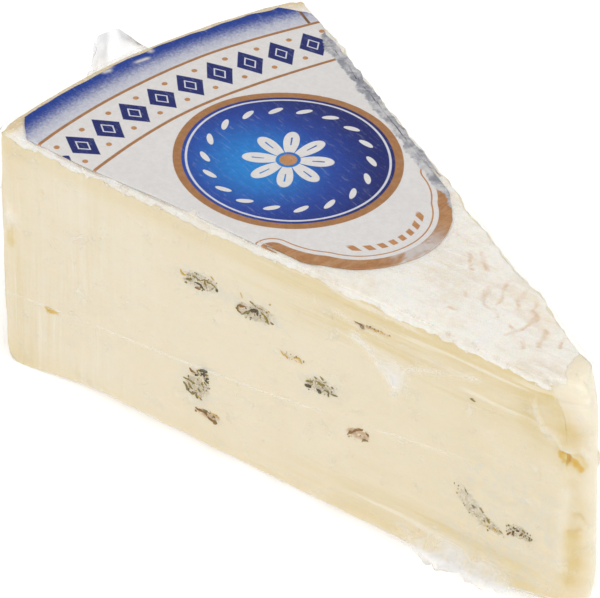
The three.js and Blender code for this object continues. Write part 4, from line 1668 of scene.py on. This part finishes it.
@dataclass
class FilmWrap:
    """Tight clear film over the top, the sides and the ends, with creases, a fold line and a gathered tail."""

    skin: BlockSkin = field(default_factory=lambda: BlockSkin(170, 46, 64, (0.3, 0.5, 0.4), open_base=True))
    outward: float = 0.42
    thickness: float = 0.05
    hem_height: float = 0.9
    tail_width: float = 13.5
    tail_height: float = 5.0
    tail_root: float = 1.5
    tail_lean: float = math.radians(25)
    tail_bearing: float = math.radians(-2.2)
    noise: SoftNoise = field(default_factory=lambda: SoftNoise(57))
    pulls: tuple = (
        Fold(1.5, 0.7, 1.15, ((44.6, 35.9), (42.4, 35.3), (42.6, 33.8))),
        Fold(0.8, 0.4, 0.7, ((50.6, 38.9), (46.8, 37.0), (43.8, 35.6))),
        Fold(0.5, 0.3, 0.4, ((42.6, 33.6), (43.0, 30.6))),
        Fold(0.6, 0.3, 0.45, ((41.0, 36.8), (38.6, 38.0), (34.6, 39.6), (28.1, 41.3))),
        Fold(0.4, 0.25, 0.25, ((54.4, 41.9), (50.7, 40.9), (45.8, 41.0))),
    )

    def _wrinkles(self, points: Array, normals: Array) -> tuple[Array, Array]:
        """How far the film stands off, and how creased it is.

        Args:
            points: The film's smooth form.
            normals: Its outward directions.

        Returns:
            The lift in millimetres and the crease from 0 to 1.
        """
        noise = self.noise
        near = points[:, 1] < 0
        along, height = cut_along(points), points[:, 2]
        flat = np.column_stack([along, height, np.where(near, -30.0, 30.0)])
        crest = 1 - np.abs(noise.at(flat, (16, 1.6, 9)) + 0.4 * noise.at(flat, (7, 0.9, 9)))
        sharp = np.clip(crest, 0, 1) ** 6
        ends = rise(along, 52, 22)
        low = rise(height, 9, 2)
        amount = 0.25 * low * rise(along, 80, 40) + 0.05 * ends + 0.02
        on_top = rise(normals[:, 2], 0.5, 0.85)
        side = 1 - on_top
        lift = 0.35 * amount * sharp * side
        crease = np.clip(2.2 * amount * sharp, 0, 1) * side
        hem = rise(height, 4.5, 1.0) * rise(along, 70, 25) * rise(along, 16, 24) * side
        deep = 4.5 + 4 * rise(along, 42, 32)
        bunched = rise(along, 42, 33) * rise(along, 18, 24) * rise(height, deep, 0.5 * deep) * side
        crumple = np.abs(noise.layered(points, 3.2))
        lift += 0.4 * hem * crumple + bunched * (0.4 + 1.2 * np.abs(noise.layered(points, 2.4, 2)))
        crease = np.maximum(crease, 0.7 * hem * np.clip(0.5 + noise.layered(points, 4.0), 0, 1))
        crease = np.maximum(crease, bunched * np.clip(1.1 + 0.8 * noise.layered(points, 1.7, 2), 0, 1.4))
        corner = rise(along, 113, 119) * rise(height, 17, 24) * rise(height, 43, 36) * side
        lift += 0.9 * corner * crumple
        crease = np.maximum(crease, 0.3 * corner * np.clip(1.6 * noise.layered(points, 4.5, 2), 0, 1))
        # Each pull lifts and creases the film; the finish shows the crease as milky white, partly a painted highlight.
        for pull in self.pulls:
            mask = near_path(flat[:, :2], np.array(pull.path), pull.width) * side * near
            lift += pull.height * mask
            crease = np.maximum(crease, pull.tint * mask)
        top_crest = np.clip(1 - np.abs(noise.at(points, (5, 12, 9)) + 0.5 * noise.at(points, (2.5, 6, 9))), 0, 1) ** 8
        lift += 0.12 * top_crest * on_top + np.maximum(edge_swell(points), -0.1)
        return lift, crease

    def build(self, material: bpy.types.Material) -> bpy.types.Object:
        """Builds the sheet: the form moved outwards and creased, its inside, and a hem that joins both.

        Args:
            material: The film's finish.

        Returns:
            The piece, which stands for the solid.
        """
        skin = self.skin
        smooth_form = Surface(FORM.points(skin.a, skin.b, skin.c, self.outward), [skin.quads])
        normals = smooth_form.normals()
        lift, crease = self._wrinkles(smooth_form.points, normals)
        outer = smooth_form.points + lift[:, None] * normals
        inner = outer - self.thickness * normals
        for layer in (outer, inner):
            layer[:, 2] = np.maximum(layer[:, 2], self.hem_height)
        count = len(outer)
        after = np.roll(skin.hem, -1)
        strip = np.stack([skin.hem, after, after + count, skin.hem + count], axis=-1)[:, ::-1]
        quads = np.concatenate([skin.quads, skin.quads[:, ::-1] + count, strip])
        surface = Surface(np.concatenate([outer, inner]), [quads], {"crease": np.tile(crease, 2)})
        piece = surface.piece("film_sheet", material, "film")
        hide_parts("film_wrap")
        piece.visible_shadow = piece.visible_diffuse = False
        return piece

    def tail(self, material: bpy.types.Material) -> bpy.types.Object:
        """The gathered tail at the rim: a flap whose gathers deepen towards its top, leaning out.

        Args:
            material: The film's finish.

        Returns:
            The piece.
        """
        up, across = np.meshgrid(np.linspace(0, 1, 40), np.linspace(-1, 1, 84), indexing="ij")
        seeds = np.column_stack([(up * 6).ravel(), (across * 7).ravel(), np.zeros(up.size)])
        crumple = self.noise.layered(seeds, 2.8, 2).reshape(up.shape)
        gathers = np.sin(6 * across + 2 * up) * up + 0.4 * np.sin(4.2 * across) + 0.7 * crumple * (0.3 + up)
        width = self.tail_width * (1 - 0.4 * up**2)
        height = (self.tail_height + self.tail_root) * (1 - 0.3 * np.abs(across) ** 3 - 0.34 * rise(across, 0.1, 1.0))
        x, z = turned(0.7 * gathers, up * height - self.tail_root, self.tail_lean)
        root = FORM.points(*(np.array([value]) for value in (1.0, 0.0, 1.0)), self.outward)[0]
        x, y = turned(x + root[0], across * width / 2 + 1.2 * up + 0.3 * crumple, -self.tail_bearing)
        front = np.stack([x, y, z + root[2]], axis=-1)
        back = front + np.array([0.08, 0.0, 0.03])
        crease = np.clip(0.6 + 0.8 * crumple + 0.4 * up, 0.25, 1.2)
        surface = closed_sheet(front, back, {"crease": crease})
        return surface.piece("film_tail", material, "film")


# ---- The studio ----


@dataclass(frozen=True)
class Studio:
    """The camera at the photograph's angle, soft lights and a pale floor. Lengths are in metres."""

    eye: tuple = (0.36748, -0.31917, 0.40887)
    azimuth: float = math.radians(49.99)
    elevation: float = math.radians(37.99)
    roll: float = math.radians(1.61)
    lens: float = 234.686
    sensor: float = 36.0
    world: float = 0.52
    mirrored_world: float = 0.24
    lights: tuple = (
        ("key", (-0.35, -0.85, 0.8), 0.6, 3.0),
        ("fill", (1.0, 0.1, 0.7), 0.7, 3.0),
        ("overhead", (0.15, -0.2, 1.25), 0.8, 3.1),
        ("back", (0.35, 0.85, 0.9), 0.7, 2.2),
    )
    floor_rings: tuple = (0.001, 0.1, 0.4, 1.2, 4.0, 12.0)
    floor_sides: int = 64

    def camera(self) -> None:
        """Makes the camera and hands it to the scene: back, right and up follow from its three angles."""
        ca, sa = math.cos(self.azimuth), math.sin(self.azimuth)
        ce, se = math.cos(self.elevation), math.sin(self.elevation)
        back = Vector((sa * ce, -ca * ce, se))
        level = Vector((ca, sa, 0))
        upright = back.cross(level)
        right = math.cos(self.roll) * level + math.sin(self.roll) * upright
        up = -math.sin(self.roll) * level + math.cos(self.roll) * upright
        data = bpy.data.cameras.new("camera")
        data.lens, data.sensor_width, data.sensor_fit = self.lens, self.sensor, "HORIZONTAL"
        data.clip_start, data.clip_end = 0.01, 20
        camera = bpy.data.objects.new("camera", data)
        turn = Matrix((right, up, back)).transposed().to_4x4()
        camera.matrix_world = Matrix.Translation(self.eye) @ turn
        bpy.context.scene.collection.objects.link(camera)
        bpy.context.scene.camera = camera

    def light(self, name: str, place: tuple, size: float, power: float) -> None:
        """Adds a soft square light that looks at the wedge's middle.

        Args:
            name: Its name.
            place: Where it hangs, in metres.
            size: The length of its sides.
            power: Its power in watts.
        """
        data = bpy.data.lights.new(name, "AREA")
        data.size, data.energy, data.color = size, power, (1.0, 0.99, 0.975)
        lamp = bpy.data.objects.new(name, data)
        lamp.location = place
        lamp.rotation_euler = (Vector((0, 0, 0.02)) - Vector(place)).to_track_quat("-Z", "Y").to_euler()
        bpy.context.scene.collection.objects.link(lamp)

    def floor(self, material: bpy.types.Material) -> None:
        """Lays a round floor of rings that lie further apart outwards."""
        turn = np.linspace(0, 2 * np.pi, self.floor_sides, endpoint=False)
        x, y = np.outer(self.floor_rings, np.cos(turn)), np.outer(self.floor_rings, np.sin(turn))
        number = np.arange(x.size).reshape(x.shape)
        quads = sheet_quads(np.column_stack([number, number[:, 0]]))
        mesh = bpy.data.meshes.new("floor")
        points = np.stack([x, y, np.zeros_like(x)], axis=-1).reshape(-1, 3)
        mesh.from_pydata(points.tolist(), [], quads.tolist() + [number[0].tolist()])
        mesh.materials.append(material)
        floor = bpy.data.objects.new("floor", mesh)
        bpy.context.scene.collection.objects.link(floor)

    def build(self, floor: bpy.types.Material) -> None:
        """Sets up the whole studio."""
        self.camera()
        self.floor(floor)
        for light in self.lights:
            self.light(*light)
        scene = bpy.context.scene
        scene.view_settings.view_transform = "Standard"
        world = bpy.data.worlds.new("studio")
        world.use_nodes = True
        bench = Bench(world.node_tree)
        glossy = bench.out("LightPath", {}, "Is Glossy Ray")
        strength = self.world - glossy * (self.world - self.mirrored_world)
        bench.feed(world.node_tree.nodes["Background"], {0: (1.0, 1.0, 1.0, 1.0), 1: strength})
        scene.world = world


def main() -> None:
    """Builds the wedge from the inside out, then the studio round it."""
    logging.basicConfig(level=logging.INFO, format="%(name)s: %(message)s")
    effects = Effects()
    body = CheeseBody()
    cheese = CheeseFinish().build(effects)
    body.build(cheese)
    mould = MouldFinish().build(effects)
    growth = MouldGrowth()
    growth.threads(body, mould)
    growth.crumbs(body, mould)
    growth.cheese_crumbs(body, CheeseFinish(name="cheese_crumbs", subsurface=0.0).build(effects))
    PaperLabel().build(LabelFinish().build(effects))
    film = FilmWrap()
    clear = FilmFinish().build(effects)
    film.build(clear)
    film.tail(clear)
    Studio().build(FloorFinish().build(effects))


if __name__ == "__main__":
    main()
